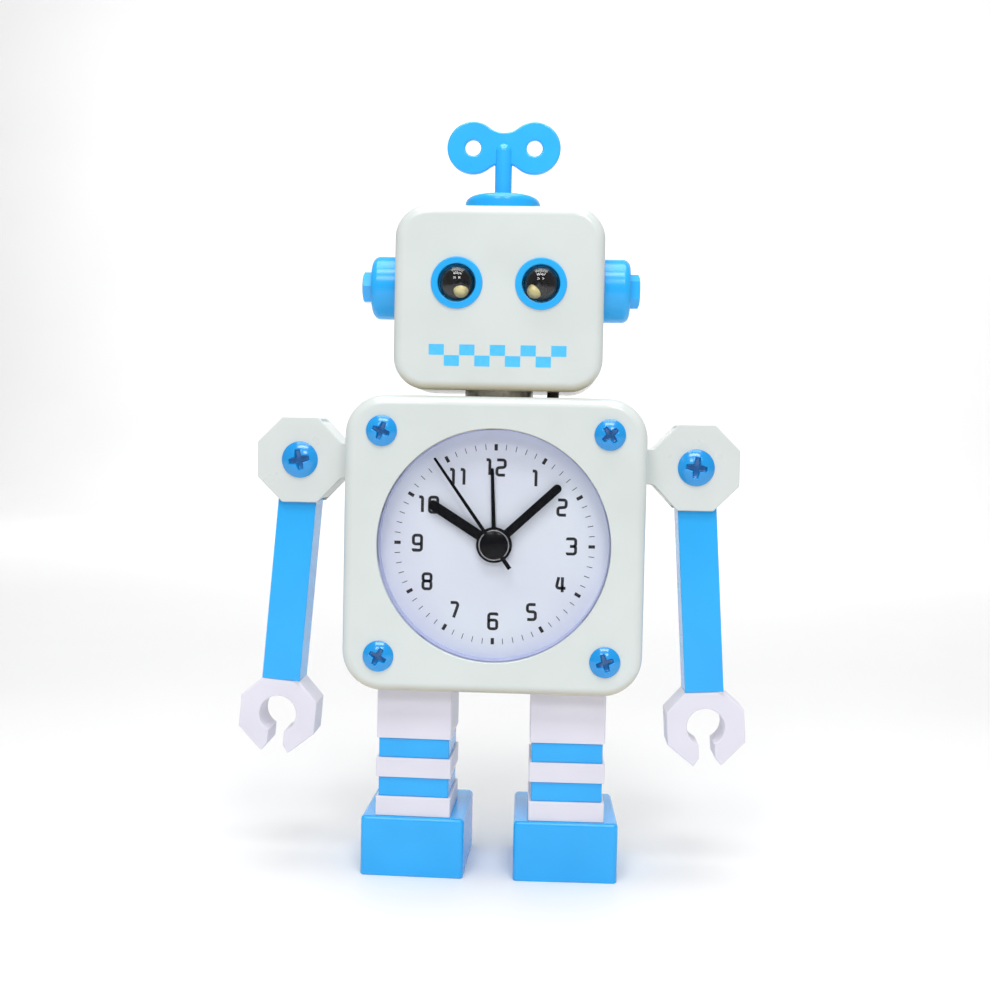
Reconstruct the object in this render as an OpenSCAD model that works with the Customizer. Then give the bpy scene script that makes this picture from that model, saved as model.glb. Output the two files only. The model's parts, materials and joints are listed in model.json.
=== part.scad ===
// Toy robot alarm clock: a painted tin head and body on block legs, with swinging arms,
// a quartz alarm movement behind a recessed dial, and a wind-up key that is a push button.
// Millimetres. +Z is up, the face looks along -Y, and X = 0 is the middle of the robot.
// The origin lies on the floor, under the middle of the overall width and depth.

/* [Body] */
// Width of the square body
body_w = 85.8; // [85:0.2:86.6]
// Height of the body
body_h = 84.6; // [84.2:0.2:86]
// Depth of the front shell, without the rear cover
shell_d = 36; // [36:0.5:38]
// Distance from the legs' middle plane to the front of the body
body_front = 17.8; // [17.6:0.1:18.2]
// Radius of the body's corners, seen from the front
body_corner = 11.5; // [10:0.5:12]
// Radius of the rolled front edges of head and body
edge_r = 3; // [2.6:0.1:3.2]
// Thickness of the tin shells
tin = 1.2; // [1:0.1:1.2]

/* [Head] */
// Width of the head
head_w = 59.6; // [59:0.2:62]
// Height of the head
head_h = 52.2; // [51:0.2:54]
// Depth of the head's shell, without its rear cover
head_d = 31; // [30:0.5:34]
// Distance from the legs' middle plane to the front of the head
head_front = 15.5; // [15:0.1:16]
// Radius of the head's corners, seen from the front
head_corner = 9.3; // [8:0.1:10]
// Distance from the middle of the face to the middle of an eye
eye_x = 11.9; // [11.4:0.1:12.6]
// How far each eye's LED sits inward of the eye's middle
led_in = 1; // [0:0.1:1.4]
// Gap between the head and the body, filled by the neck
neck_gap = 1.8; // [1.6:0.1:2.4]

/* [Key] */
// Travel of the key when it is pressed
key_travel = 2; // [1:0.25:2]
// Radius of each lobe of the key's plate
key_lobe = 7.6; // [7.2:0.1:8]

/* [Legs] */
// Height of a foot
foot_h = 17.4; // [16:0.2:19]
// Width of a foot
foot_w = 30.2; // [28:0.2:32]
// Length of a foot, from toe to heel
foot_l = 31.5; // [30:0.5:34]
// Width of a white leg block
leg_w = 22; // [21.6:0.1:23]
// Height of one of the four thin leg blocks
slab_h = 5.72; // [5.2:0.02:6.4]
// Height of the block under the body
thigh_h = 15.1; // [14:0.1:16]
// Distance from the middle to a leg
leg_x = 22.1; // [21:0.1:23]
// Angle that each leg turns outward
toe_out = 1.3; // [0:0.1:3]

/* [Arms] */
// Width of an arm's square bar
arm_w = 11.2; // [10.6:0.1:11.2]
// Length of an arm, from its pivot to the claw
arm_l = 65.6; // [60:0.2:68]
// Distance from the middle to an arm's pivot
arm_x = 57.6; // [57.4:0.1:58]
// Depth of a shoulder, from front to back
shoulder_d = 14.4; // [14.2:0.1:15]
// Angle at which the left arm hangs outward
left_hang = 4.6; // [1:0.1:6]
// Angle at which the right arm hangs outward
right_hang = 3.8; // [1:0.1:6]
// Radius of the hole in a claw
claw_r = 5.45; // [5:0.05:5.6]

/* [Dial] */
// Radius of the opening in the front
dial_r = 33.2; // [32.6:0.1:33.2]
// Angle of the hour hand, clockwise from twelve
hour_angle = 302; // [0:1:359]
// Angle of the minute hand
minute_angle = 47; // [0:1:359]
// Angle of the alarm hand
alarm_angle = -2.5; // [-180:0.5:180]
// Angle of the second hand
second_angle = -35.3; // [-180:0.1:180]

/* [Hidden] */
$fn = 64;
fit = 0.05;
press = 0.01;

// Heights of the stacked parts
body_bottom = foot_h + 4 * slab_h + thigh_h;
body_mid = body_bottom + body_h / 2;
body_top = body_bottom + body_h;
head_bottom = body_top + neck_gap;
head_mid = head_bottom + head_h / 2;
head_top = head_bottom + head_h;
eye_z = head_mid + 4;
arm_z = body_mid + 23.2;

// Planes across the body, along Y
body_back_y = shell_d - body_front;
cover_t = 2;
body_rear = body_back_y + cover_t;
wall_y = tin - body_front;
lens_t = 0.8;
dial_y = -11.4;
dial_t = 0.6;
case_y = -10.6;
case_d = 12;
case_half = 28;
case_wall = 1.2;
lug_x = case_half + 10.1;
post_x = body_w / 2 - 10.7;
post_z = body_h / 2 - 10.2;
post_r = 3.4;

// Planes across the head, along Y
head_back_y = head_d - head_front;
head_rear = head_back_y + 1.8;
head_post_x = head_w / 2 - 5;
head_post_z = head_h / 2 - 5;
ear_t = 7.8;
led_r = 2.5;

// Screws: shank radius of each size
m22 = 1.1;
m3 = 1.5;
m35 = 1.75;
m4 = 2;
m4_nut_flats = 7;
m4_nut_t = 3;
screw_grip = 11;

// Joint between an arm and its claw: a square peg in a square socket
socket = 6;
peg_l = 8;

// Hand stack, tip planes from the front backward, and the tubes that carry the hands
hand_t = 0.3;
second_y = -14.5;
minute_y = -13.85;
hour_y = -13.1;
alarm_y = -12.35;
pin_r = 0.45;
minute_tube = 0.95;
hour_tube = 1.5;
alarm_tube = 2.05;
hub_r = 5.15;

// Gears: distance between arbors, modules and tooth counts
arbor_gap = 10;
coarse = 0.5;
fine = 0.4;
pinion_teeth = 10;
motion_teeth = 30;
wheel_teeth = 40;
time_dir = 45;
alarm_dir = 135;
arbor_r = 1.1;
knob_y = body_rear + 0.6;
knob_h = 5;
screw_head = 2.2;

// Middle of the overall depth, from the front screws to the rear knobs
depth_mid = (knob_y + knob_h - body_front - screw_head) / 2;

// Battery compartment, behind the movement
cell_r = 7.1;
cell_l = 50.5;
cell_step = 14.6;
cell_y = 9.9;
box_y = case_y + case_d + 0.2;
box_back = body_back_y - 0.1;
box_half = cell_l / 2 + 2.35;
box_bottom = body_bottom + 4.8;
box_h = 2 * cell_r + cell_step + 2.2;
door_w = 2 * box_half - 1.8;
door_t = 1.6;
door_gap = 0.2;
door_pin_r = 0.5;
door_bottom = box_bottom + 1.1;
door_h = box_h - 2.2;
door_axis_y = body_rear - 0.1 - door_t / 2;
door_axis_z = door_bottom + door_t / 2;

// Boards and alarm switch
board_y = box_y + 1.6;
board_t = 1.2;
board_bottom = body_mid + 14.3;
board_h = 21;
board_half = 26;
switch_x = 16;
switch_z = body_mid + 22;
switch_travel = 5;
buzzer_x = -14;
buzzer_z = body_mid + 25.3;

// Neck and key
neck_r = 10;
neck_spigot = 8;
neck_bore = 6.5;
neck_nut_t = 3;
neck_nut_flats = 22;
neck_screw_x = 15.9;
key_r = 2.5;
key_plate_t = 2.2;
key_z = head_top + 19;
collar_r = 11;
collar_h = 4.5;
key_flange_top = head_top - tin - 0.4;
key_flange_t = 1.5;
spring_r = 4;
spring_wire = 0.3;
spring_turns = 5;
ledge_top = head_top - 12;

ivory = [0.88, 0.90, 0.89];
blue = [0.25, 0.69, 1.0];
white = [0.93, 0.93, 0.96];
steel = [0.62, 0.60, 0.58];

// ---------- Shared shapes ----------

// Shifts a piece from the legs' middle plane, where it is drawn, to the frame's origin.
module centred() {
    translate([0, -depth_mid, 0]) children();
}

// Stands a flat drawing upright: drawing x stays X, drawing y becomes Z, height grows along +Y from y.
module facing(y = 0) {
    translate([0, y, 0]) mirror([0, 1, 0]) rotate([90, 0, 0]) children();
}

// A round bar along +Y.
module bar_y(x, y, z, r, l) {
    translate([x, y, z]) rotate([-90, 0, 0]) cylinder(r = r, h = l);
}

// A round bar along +X.
module bar_x(x, y, z, r, l) {
    translate([x, y, z]) rotate([0, 90, 0]) cylinder(r = r, h = l);
}

// Half of a wall's section: a rectangle with one rounded corner at its outer front edge.
module rolled_section(reach, depth, edge) {
    square([reach - edge, depth]);
    translate([0, edge]) square([reach, depth - edge]);
    translate([reach - edge, edge]) circle(r = edge);
}

// A box w by h with round corners, its front edge rolled, growing along +Z from 0 to depth.
// The edge is at most half the depth.
module rolled_box(w, h, depth, corner, edge) {
    along = w - 2 * corner;
    up = h - 2 * corner;
    translate([-along / 2, -up / 2, 0]) cube([along, up, depth]);
    for (quarter = [0:3]) {
        side_x = (quarter == 0 || quarter == 3) ? 1 : -1;
        side_y = quarter < 2 ? 1 : -1;
        translate([side_x * along / 2, side_y * up / 2, 0])
            rotate(quarter * 90) rotate_extrude(angle = 90) rolled_section(corner, depth, edge);
    }
    for (turn = [0, 180]) {
        rotate(turn) translate([along / 2, up / 2, 0]) rotate([90, 0, 0])
            linear_extrude(up) rolled_section(corner, depth, edge);
        rotate(turn) translate([-along / 2, up / 2, 0]) rotate([90, 0, 90])
            linear_extrude(along) rolled_section(corner, depth, edge);
    }
}

// A flat plate with round corners, growing along +Z.
module round_plate(w, h, t, corner) {
    translate([-w / 2 + corner, -h / 2, 0]) cube([w - 2 * corner, h, t]);
    translate([-w / 2, -h / 2 + corner, 0]) cube([w, h - 2 * corner, t]);
    for (x = [-1, 1], y = [-1, 1])
        translate([x * (w / 2 - corner), y * (h / 2 - corner), 0]) cylinder(r = corner, h = t);
}

// A hexagonal nut along +Z.
module hex_nut(flats, t, bore) {
    difference() {
        cylinder(r = flats / sqrt(3), h = t, $fn = 6);
        translate([0, 0, -1]) cylinder(r = bore, h = t + 2);
    }
}

// A pan-head screw with a cross recess: its head rises from 0 to head_t, its shank goes down.
module pan_screw(head_r, head_t, shank_r, shank_l, turn = 0) {
    slot = head_r * 0.26;
    reach = head_r * 0.56;
    difference() {
        rotate_extrude() {
            square([head_r, head_t * 0.35]);
            intersection() {
                square([head_r, head_t]);
                translate([0, head_t - head_r * 1.45]) circle(r = head_r * 1.45);
                translate([head_r - head_t * 0.9, head_t * 0.1])
                    union() {
                        circle(r = head_t * 0.9);
                        translate([-head_r, -1]) square([head_r, head_t + 1]);
                    }
            }
        }
        rotate(turn) for (way = [0, 90])
            rotate(way) translate([-reach, -slot / 2, head_t * 0.4]) cube([2 * reach, slot, head_t]);
    }
    translate([0, 0, -shank_l]) cylinder(r = shank_r, h = shank_l);
}

// Half the angle that a gear tooth spans at radius r, for an involute with backlash.
function involute(a) = tan(a) * 180 / PI - a;
function tooth_half(r, teeth, size) =
    let (pitch_r = teeth * size / 2, base_r = pitch_r * cos(20), at = max(r, base_r))
    90 / teeth - 0.07 * size / pitch_r * 180 / PI + involute(20) - involute(acos(base_r / at));

// Outline of a spur gear whose first tooth points along drawing +X.
module gear_outline(teeth, size) {
    pitch_r = teeth * size / 2;
    steps = [-1, -0.5, 0, 0.35, 0.62];
    radii = [for (s = steps) pitch_r + s * size];
    polygon([
        for (tooth = [0:teeth - 1])
            let (mid = tooth * 360 / teeth)
            each concat(
                [for (r = radii) let (a = mid - tooth_half(r, teeth, size)) r * [cos(a), sin(a)]],
                [for (i = [len(radii) - 1:-1:0])
                    let (r = radii[i], a = mid + tooth_half(r, teeth, size)) r * [cos(a), sin(a)]]
            )
    ]);
}

module gear(teeth, size, t, turn) {
    rotate(turn) linear_extrude(t) gear_outline(teeth, size);
}

// Places that several parts share.
module at_body_posts() {
    for (x = [-1, 1], z = [-1, 1]) translate([x * post_x, 0, body_mid + z * post_z]) children();
}

module at_head_posts() {
    for (x = [-1, 1], z = [-1, 1]) translate([x * head_post_x, 0, head_mid + z * head_post_z]) children();
}

module at_eyes() {
    for (x = [-1, 1]) translate([x * eye_x, 0, eye_z]) children();
}

module at_leds() {
    for (x = [-1, 1]) translate([x * (eye_x - led_in), 0, eye_z - 0.8]) children();
}

function arbor_point(dir) = [arbor_gap * cos(dir), 0, body_mid + arbor_gap * sin(dir)];

// ---------- Body ----------

module body_shell() {
    color(ivory) centred() difference() {
        translate([0, 0, body_mid]) facing(-body_front)
            rolled_box(body_w, body_h, shell_d, body_corner, edge_r);
        translate([0, 0, body_mid]) facing(wall_y)
            rolled_box(body_w - 2 * tin, body_h - 2 * tin, shell_d, body_corner - tin, edge_r - tin);
        bar_y(0, -body_front - 1, body_mid, dial_r, 4);
        at_body_posts() bar_y(0, -body_front - 1, 0, m4 + fit, 4);
        translate([0, 0, body_top - 3]) cylinder(r = neck_spigot + fit, h = 6);
        translate([neck_screw_x, 0, body_top - 3]) cylinder(r = m35 + fit, h = 6);
        for (side = [-1, 1]) {
            bar_x(side * body_w / 2 - 3, 0, arm_z, m35 + fit, 6);
            translate([side * leg_x, 0, body_bottom - 3]) cylinder(r = m4 + fit, h = 6);
        }
    }
}

module body_back() {
    lip = 1.2;
    color(ivory) centred() difference() {
        union() {
            translate([0, 0, body_mid]) mirror([0, 1, 0]) facing(-body_rear)
                rolled_box(body_w, body_h, cover_t, body_corner, cover_t / 2);
            translate([0, 0, body_mid]) facing(body_back_y - 1.5) difference() {
                round_plate(body_w - 2 * tin - 0.2, body_h - 2 * tin - 0.2, 2, body_corner - tin - 0.1);
                translate([0, 0, -1]) round_plate(body_w - 2 * tin - 0.2 - 2 * lip,
                    body_h - 2 * tin - 0.2 - 2 * lip, 4, body_corner - tin - 0.1 - lip);
            }
        }
        at_body_posts() bar_y(0, body_back_y - 3, 0, m3 + fit, 8);
        for (dir = [time_dir, alarm_dir])
            translate(arbor_point(dir)) bar_y(0, body_back_y - 3, 0, 2, 8);
        translate([-door_w / 2 - door_gap, body_back_y - 1, door_bottom - door_gap])
            cube([door_w + 2 * door_gap, 8, door_h + 2 * door_gap]);
        bar_x(-door_w / 2 - 1.5, door_axis_y, door_axis_z, door_pin_r + fit, door_w + 3);
        translate([switch_x - switch_travel / 2 - 1.8, body_back_y - 1, switch_z - 1.5])
            cube([switch_travel + 3.6, 8, 3]);
        for (x = [-2:2], z = [-2:2])
            if (abs(x) + abs(z) < 4)
                bar_y(buzzer_x + 2.8 * x, body_back_y - 1, buzzer_z + 2.8 * z, 0.8, 8);
    }
}

module body_screws() {
    turns = [12, 38, 64, 20];
    color(blue) centred() for (i = [0:3]) {
        x = i % 2 == 0 ? -1 : 1;
        z = i < 2 ? 1 : -1;
        translate([x * post_x, -body_front, body_mid + z * post_z]) rotate([90, 0, 0])
            pan_screw(4.4, screw_head, m4, screw_grip, turns[i]);
    }
}

module cover_screws() {
    color(steel) centred() {
        at_body_posts() translate([0, body_rear, 0]) rotate([-90, 0, 0]) pan_screw(2.8, 1.5, m3, 9);
        at_head_posts() translate([0, head_rear, 0]) rotate([-90, 0, 0]) pan_screw(2.8, 1.5, m3, 6);
        for (side = [-1, 1])
            translate([side * lug_x, case_y + case_wall, body_mid]) rotate([-90, 0, 0])
                pan_screw(2.4, 1.3, m22, 4);
    }
}

// Moulded frame behind the front: it seats the lens and the dial, and its posts take the screws.
module dial_frame() {
    seat_r = 35.6;
    plate_w = body_w - 2 * edge_r - 0.6;
    plate_h = body_h - 2 * edge_r - 0.6;
    color(white) centred() difference() {
        union() {
            translate([0, 0, body_mid]) facing(wall_y) round_plate(plate_w, plate_h, 2.4, 8);
            bar_y(0, wall_y, body_mid, seat_r + 0.3, dial_y - wall_y);
            at_body_posts() bar_y(0, wall_y, 0, post_r, body_back_y - wall_y);
            for (side = [-1, 1]) bar_y(side * lug_x, wall_y, body_mid, 2.3, case_y - wall_y);
        }
        bar_y(0, wall_y - 1, body_mid, seat_r, 1 + lens_t);
        bar_y(0, wall_y - 1, body_mid, dial_r - 0.3, dial_y - wall_y + 2);
        at_body_posts() bar_y(0, wall_y - 1, 0, m4 + fit, screw_grip + 1);
        at_body_posts() bar_y(0, body_back_y - 9, 0, m3 + fit, 10);
        for (side = [-1, 1]) bar_y(side * lug_x, case_y - 4, body_mid, m22 + fit, 5);
    }
}

module dial_lens() {
    color([0.85, 0.92, 0.95, 0.3]) centred() bar_y(0, wall_y, body_mid, 35.5, lens_t);
}

module dial_plate() {
    color(white) centred() difference() {
        bar_y(0, dial_y, body_mid, 35.5, dial_t);
        bar_y(0, dial_y - 1, body_mid, 3.65, dial_t + 2);
    }
}

// ---------- Hands ----------

// A hand in the dial's plane: drawn pointing up, then turned clockwise by angle.
module hand_blade(y, angle, hub, bore, length, width, tip_width, tail) {
    translate([0, 0, body_mid]) facing(y) rotate(-angle) difference() {
        union() {
            cylinder(r = hub, h = hand_t);
            linear_extrude(hand_t) polygon([
                [-width / 2, -tail], [width / 2, -tail],
                [tip_width / 2, length - tip_width / 2], [-tip_width / 2, length - tip_width / 2]
            ]);
            translate([0, length - tip_width / 2, 0]) cylinder(r = tip_width / 2, h = hand_t);
        }
        translate([0, 0, -1]) cylinder(r = bore, h = 3);
    }
}

module hour_hand() {
    color("black") centred()
        hand_blade(hour_y, hour_angle, hub_r, hour_tube + press, 22.3, 2.9, 2.9, 0);
}

module minute_hand() {
    color("black") centred()
        hand_blade(minute_y, minute_angle, 4.6, minute_tube + press, 25.5, 2.5, 2.5, 0);
}

module alarm_hand() {
    color("black") centred()
        hand_blade(alarm_y, alarm_angle, 4.6, alarm_tube + press, 22, 1.3, 0.9, 0);
}

// The second hand, with the domed cap that hides the hubs moulded on it.
module second_hand() {
    cap_r = 4;
    cap_h = 0.85;
    rim_h = 0.12;
    dome_h = cap_h - rim_h;
    sphere_r = (cap_r * cap_r + dome_h * dome_h) / (2 * dome_h);
    color("black") centred() difference() {
        union() {
            hand_blade(second_y, second_angle, cap_r - 0.4, pin_r + press, 30.2, 1.2, 0.75, 8.1);
            translate([0, second_y, body_mid]) rotate([90, 0, 0]) rotate_extrude() {
                translate([0, -0.1]) square([cap_r, rim_h + 0.1]);
                intersection() {
                    translate([0, cap_h - sphere_r]) circle(r = sphere_r, $fn = 128);
                    translate([0, rim_h / 2]) square([cap_r, cap_h]);
                }
            }
        }
        bar_y(0, second_y - 0.2, body_mid, pin_r + press, 2);
    }
}

// ---------- Movement ----------

module movement_case() {
    lug_r = 2.6;
    inner = case_half - case_wall;
    color([0.15, 0.15, 0.16]) centred() difference() {
        union() {
            translate([-case_half, case_y, body_mid - case_half])
                cube([2 * case_half, case_d - case_wall, 2 * case_half]);
            bar_y(0, dial_y - 0.4, body_mid, 3.6, 2);
            for (side = [-1, 1]) {
                translate([side * (case_half + 5) - 6, case_y, body_mid - lug_r])
                    cube([12, case_wall, 2 * lug_r]);
                bar_y(side * lug_x, case_y, body_mid, lug_r, case_wall);
            }
        }
        translate([-inner, case_y + case_wall, body_mid - inner])
            cube([2 * inner, case_d, 2 * inner]);
        bar_y(0, dial_y - 1, body_mid, alarm_tube + fit, 4);
        for (dir = [time_dir, alarm_dir]) translate(arbor_point(dir)) bar_y(0, case_y - 1, 0, 0.65, 4);
        for (side = [-1, 1]) bar_y(side * lug_x, case_y - 1, body_mid, m22 + fit, 4);
    }
}

module movement_cover() {
    cover_y = case_y + case_d - case_wall;
    color([0.15, 0.15, 0.16]) centred() difference() {
        union() {
            translate([-case_half, cover_y, body_mid - case_half])
                cube([2 * case_half, case_wall, 2 * case_half]);
            for (x = [-22, 22])
                bar_y(x, cover_y, board_bottom + 4, 2, board_y - cover_y);
        }
        for (dir = [time_dir, alarm_dir])
            translate(arbor_point(dir)) bar_y(0, cover_y - 1, 0, arbor_r + fit, 4);
        bar_y(0, cover_y - 1, body_mid, pin_r + fit, 1.6);
    }
}

// A tube along Y, centred on the dial.
module tube_y(y, l, outer, inner) {
    difference() {
        bar_y(0, y, body_mid, outer, l);
        bar_y(0, y - 1, body_mid, inner, l + 2);
    }
}

// A gear on the dial's centre, with a hole for the tube inside it.
module centre_gear(y, teeth, size, t, turn, bore) {
    difference() {
        translate([0, 0, body_mid]) facing(y) gear(teeth, size, t, turn);
        bar_y(0, y - 1, body_mid, bore, t + 2);
    }
}

module alarm_wheel() {
    color("gold") centred() {
        tube_y(alarm_y, 4.15, alarm_tube, hour_tube + fit);
        centre_gear(-9.2, wheel_teeth, fine, 1, alarm_dir, hour_tube + fit);
    }
}

module hour_wheel() {
    color("gold") centred() {
        tube_y(hour_y, 6.2, hour_tube, minute_tube + fit);
        centre_gear(-7.8, wheel_teeth, fine, 0.9, time_dir, minute_tube + fit);
    }
}

module minute_arbor() {
    color("gold") centred() {
        tube_y(minute_y, 10, minute_tube, pin_r + fit);
        centre_gear(-6.4, pinion_teeth, coarse, 1.6, time_dir, pin_r + fit);
        difference() {
            bar_y(0, -4.6, body_mid, 7.5, 0.7);
            bar_y(0, -5, body_mid, pin_r + fit, 2);
        }
    }
}

module second_arbor() {
    color("gold") centred() {
        bar_y(0, second_y, body_mid, pin_r, 15);
        bar_y(0, -3.4, body_mid, 7.5, 0.6);
    }
}

module motion_wheel() {
    tooth_gap = 180 + 180 / motion_teeth;
    pinion_gap = 180 + 180 / pinion_teeth;
    color("gold") centred() translate(arbor_point(time_dir)) {
        facing(-6.3) gear(motion_teeth, coarse, 1.2, time_dir + tooth_gap);
        facing(-7.9) gear(pinion_teeth, fine, 1.8, time_dir + pinion_gap);
        bar_y(0, -10.4, 0, 0.6, 3);
        bar_y(0, -6, 0, arbor_r, knob_y + 9);
    }
}

module alarm_arbor() {
    pinion_gap = 180 + 180 / pinion_teeth;
    color("gold") centred() translate(arbor_point(alarm_dir)) {
        facing(-9.3) gear(pinion_teeth, fine, 1.2, alarm_dir + pinion_gap);
        bar_y(0, -10.4, 0, 0.6, 3);
        bar_y(0, -8.2, 0, arbor_r, knob_y + 11.2);
    }
}

// A setting knob with flutes round its rim.
module setting_knob(dir) {
    knob_r = 5.6;
    flutes = 16;
    translate(arbor_point(dir)) difference() {
        bar_y(0, knob_y, 0, knob_r, knob_h);
        bar_y(0, knob_y - 1, 0, arbor_r + press, 4);
        for (i = [0:flutes - 1])
            rotate([0, i * 360 / flutes, 0]) bar_y(knob_r + 0.35, knob_y + 1, 0, 0.8, knob_h);
    }
}

module time_knob() {
    color(blue) centred() setting_knob(time_dir);
}

module alarm_knob() {
    color(blue) centred() setting_knob(alarm_dir);
}

module drive_coil() {
    color("orangered") centred() {
        bar_x(-9, -4.5, body_mid - 20, 3, 18);
        for (x = [-10, 9]) bar_x(x, -4.5, body_mid - 20, 3.8, 1);
    }
}

// ---------- Electronics and battery ----------

module circuit_board() {
    color("darkgreen") centred()
        translate([-board_half, board_y, board_bottom]) cube([2 * board_half, board_t, board_h]);
}

module buzzer() {
    color([0.1, 0.1, 0.1]) centred() difference() {
        bar_y(buzzer_x, board_y + board_t, buzzer_z, 8.5, 5);
        bar_y(buzzer_x, board_y + board_t + 4, buzzer_z, 1.5, 3);
    }
}

module switch_housing() {
    color("dimgray") centred() translate([switch_x - 6, board_y + board_t, switch_z - 3])
        cube([12, body_back_y - 2.6 - board_y - board_t, 6]);
}

module alarm_switch() {
    start = switch_x - switch_travel / 2;
    color(blue) centred() {
        translate([start - 1.2, body_back_y - 2.5, switch_z - 2]) cube([2.4, 1, 4]);
        translate([start - 1.5, body_back_y - 2, switch_z - 1.2]) cube([3, cover_t + 2.3, 2.4]);
        translate([start - 2.5, body_rear + 0.3, switch_z - 2.2]) cube([5, 1.8, 4.4]);
    }
}

module battery_box() {
    color([0.12, 0.12, 0.13]) centred() difference() {
        translate([-box_half, box_y, box_bottom]) cube([2 * box_half, box_back - box_y, box_h]);
        translate([1 - box_half, box_y + 1, box_bottom + 1]) cube([2 * box_half - 2, 30, box_h - 2]);
    }
}

module battery_contacts() {
    inner = box_half - 1;
    plate = [0.4, 11, 11];
    color("silver") centred() for (i = [0, 1]) {
        z = box_bottom + 1.1 + cell_r + i * cell_step;
        translate([-inner, cell_y - 5.5, z - 5.5]) cube(plate);
        bar_x(-inner, cell_y, z, 2, 1.2);
        translate([inner - 0.4, cell_y - 5.5, z - 5.5]) cube(plate);
        bar_x(inner - 1.2, cell_y, z, 2, 1.2);
    }
}

module batteries() {
    color("darkorange") centred() for (i = [0, 1]) {
        z = box_bottom + 1.1 + cell_r + i * cell_step;
        nub = i == 0 ? cell_l / 2 - 1 : -cell_l / 2;
        bar_x(i == 0 ? -cell_l / 2 : 1 - cell_l / 2, cell_y, z, cell_r, cell_l - 1);
        bar_x(nub, cell_y, z, 2.7, 1);
    }
}

module battery_door() {
    color(ivory) centred() difference() {
        union() {
            translate([-door_w / 2, door_axis_y - door_t / 2, door_axis_z])
                cube([door_w, door_t, door_h - door_t / 2]);
            bar_x(-door_w / 2, door_axis_y, door_axis_z, door_t / 2, door_w);
            bar_x(-door_w / 2 - 1.3, door_axis_y, door_axis_z, door_pin_r, door_w + 2.6);
        }
        for (i = [0:2])
            translate([-7, body_rear - 0.7, door_bottom + door_h - 4 - 2.4 * i]) cube([14, 2, 1.2]);
    }
}

// ---------- Head ----------

module head_shell() {
    color(ivory) centred() difference() {
        union() {
            difference() {
                translate([0, 0, head_mid]) facing(-head_front)
                    rolled_box(head_w, head_h, head_d, head_corner, edge_r);
                translate([0, 0, head_mid]) facing(tin - head_front)
                    rolled_box(head_w - 2 * tin, head_h - 2 * tin, head_d, head_corner - tin, edge_r - tin);
            }
            intersection() {
                at_head_posts() bar_y(0, head_back_y - 8, 0, 3.4, 8);
                translate([0, 0, head_mid]) facing(-head_front)
                    rolled_box(head_w - tin, head_h - tin, head_d, head_corner - tin / 2, edge_r);
            }
        }
        at_eyes() bar_y(0, -head_front - 1, 0, 6.5, 4);
        at_head_posts() bar_y(0, head_back_y - 7, 0, m3 + fit, 8);
        for (z = [head_bottom, head_top]) translate([0, 0, z - 3])
            cylinder(r = z == head_top ? key_r + 0.5 : neck_spigot + fit, h = 6);
        translate([neck_screw_x, 0, head_bottom - 3]) cylinder(r = m35 + fit, h = 6);
        bar_x(-head_w / 2 - 1, 0, eye_z, m4 + fit, head_w + 2);
    }
}

module head_back() {
    t = head_rear - head_back_y;
    color(ivory) centred() difference() {
        translate([0, 0, head_mid]) mirror([0, 1, 0]) facing(-head_rear)
            rolled_box(head_w, head_h, t, head_corner, t / 2);
        at_head_posts() bar_y(0, head_back_y - 1, 0, m3 + fit, 4);
    }
}

module eye_bezels() {
    color(blue) centred() at_eyes() difference() {
        union() {
            bar_y(0, -head_front - 0.6, 0, 7.3, 0.6);
            bar_y(0, -head_front, 0, 6.45, 2.6);
        }
        bar_y(0, -head_front - 2, 0, 5.35, 6);
        bar_y(0, -head_front + 0.5, 0, 5.95, 4);
    }
}

module eye_lenses() {
    dome_r = 5.3;
    dome_h = 2.9;
    sphere_r = (dome_r * dome_r + dome_h * dome_h) / (2 * dome_h);
    color([0.8, 0.9, 0.95, 0.4]) centred() at_eyes() {
        bar_y(0, -head_front + 0.5, 0, 5.9, 0.8);
        translate([0, -head_front + 0.6, 0]) rotate([90, 0, 0]) rotate_extrude() intersection() {
            translate([0, 0.8 + dome_h - sphere_r]) circle(r = sphere_r, $fn = 128);
            square([dome_r, 4]);
        }
    }
}

// A black cup behind each lens, with a hole in its floor for the LED.
module eye_reflectors() {
    start = -head_front + 1.3;
    color([0.06, 0.06, 0.07]) centred() difference() {
        at_eyes() bar_y(0, start, 0, 5.9, 8);
        at_eyes() bar_y(0, start - 1, 0, 5.1, 6.2);
        at_leds() bar_y(0, start + 1, 0, led_r + 0.1, 8);
    }
}

module eye_leds() {
    color("lightyellow") centred() at_leds() {
        bar_y(0, -head_front + 4.5, 0, led_r, 5.5);
        translate([0, -head_front + 4.5, 0]) rotate([90, 0, 0]) rotate_extrude() intersection() {
            circle(r = led_r);
            translate([0, -1]) square([led_r, 4]);
        }
    }
}

module eye_board() {
    color("darkgreen") centred() translate([-20, -head_front + 10, eye_z - 3.8]) cube([40, 1, 7.6]);
}

module ear_cups() {
    ear_r = 9.2;
    rim = 2.2;
    color(blue) centred() for (side = [-1, 1])
        translate([side * head_w / 2, 0, eye_z]) rotate([0, side * 90, 0]) rotate_extrude() {
            translate([m4 + fit, 0]) square([ear_r - m4 - fit, ear_t - rim]);
            translate([m4 + fit, 0]) square([ear_r - rim - m4 - fit, ear_t]);
            translate([ear_r - rim, ear_t - rim]) circle(r = rim);
        }
}

module ear_bolts() {
    head_across = 8.6;
    head_t = 2.9;
    color(blue) centred() for (side = [-1, 1])
        translate([side * (head_w / 2 + ear_t), 0, eye_z]) rotate([0, side * 90, 0]) {
            rotate(side < 0 ? 30 : 0) intersection() {
                cylinder(r = head_across / sqrt(3), h = head_t, $fn = 6);
                cylinder(r1 = head_across / 2 + 3.2, r2 = head_across / 2 + 0.1, h = head_t);
            }
            translate([0, 0, -13]) cylinder(r = m4, h = 13);
        }
}

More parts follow.
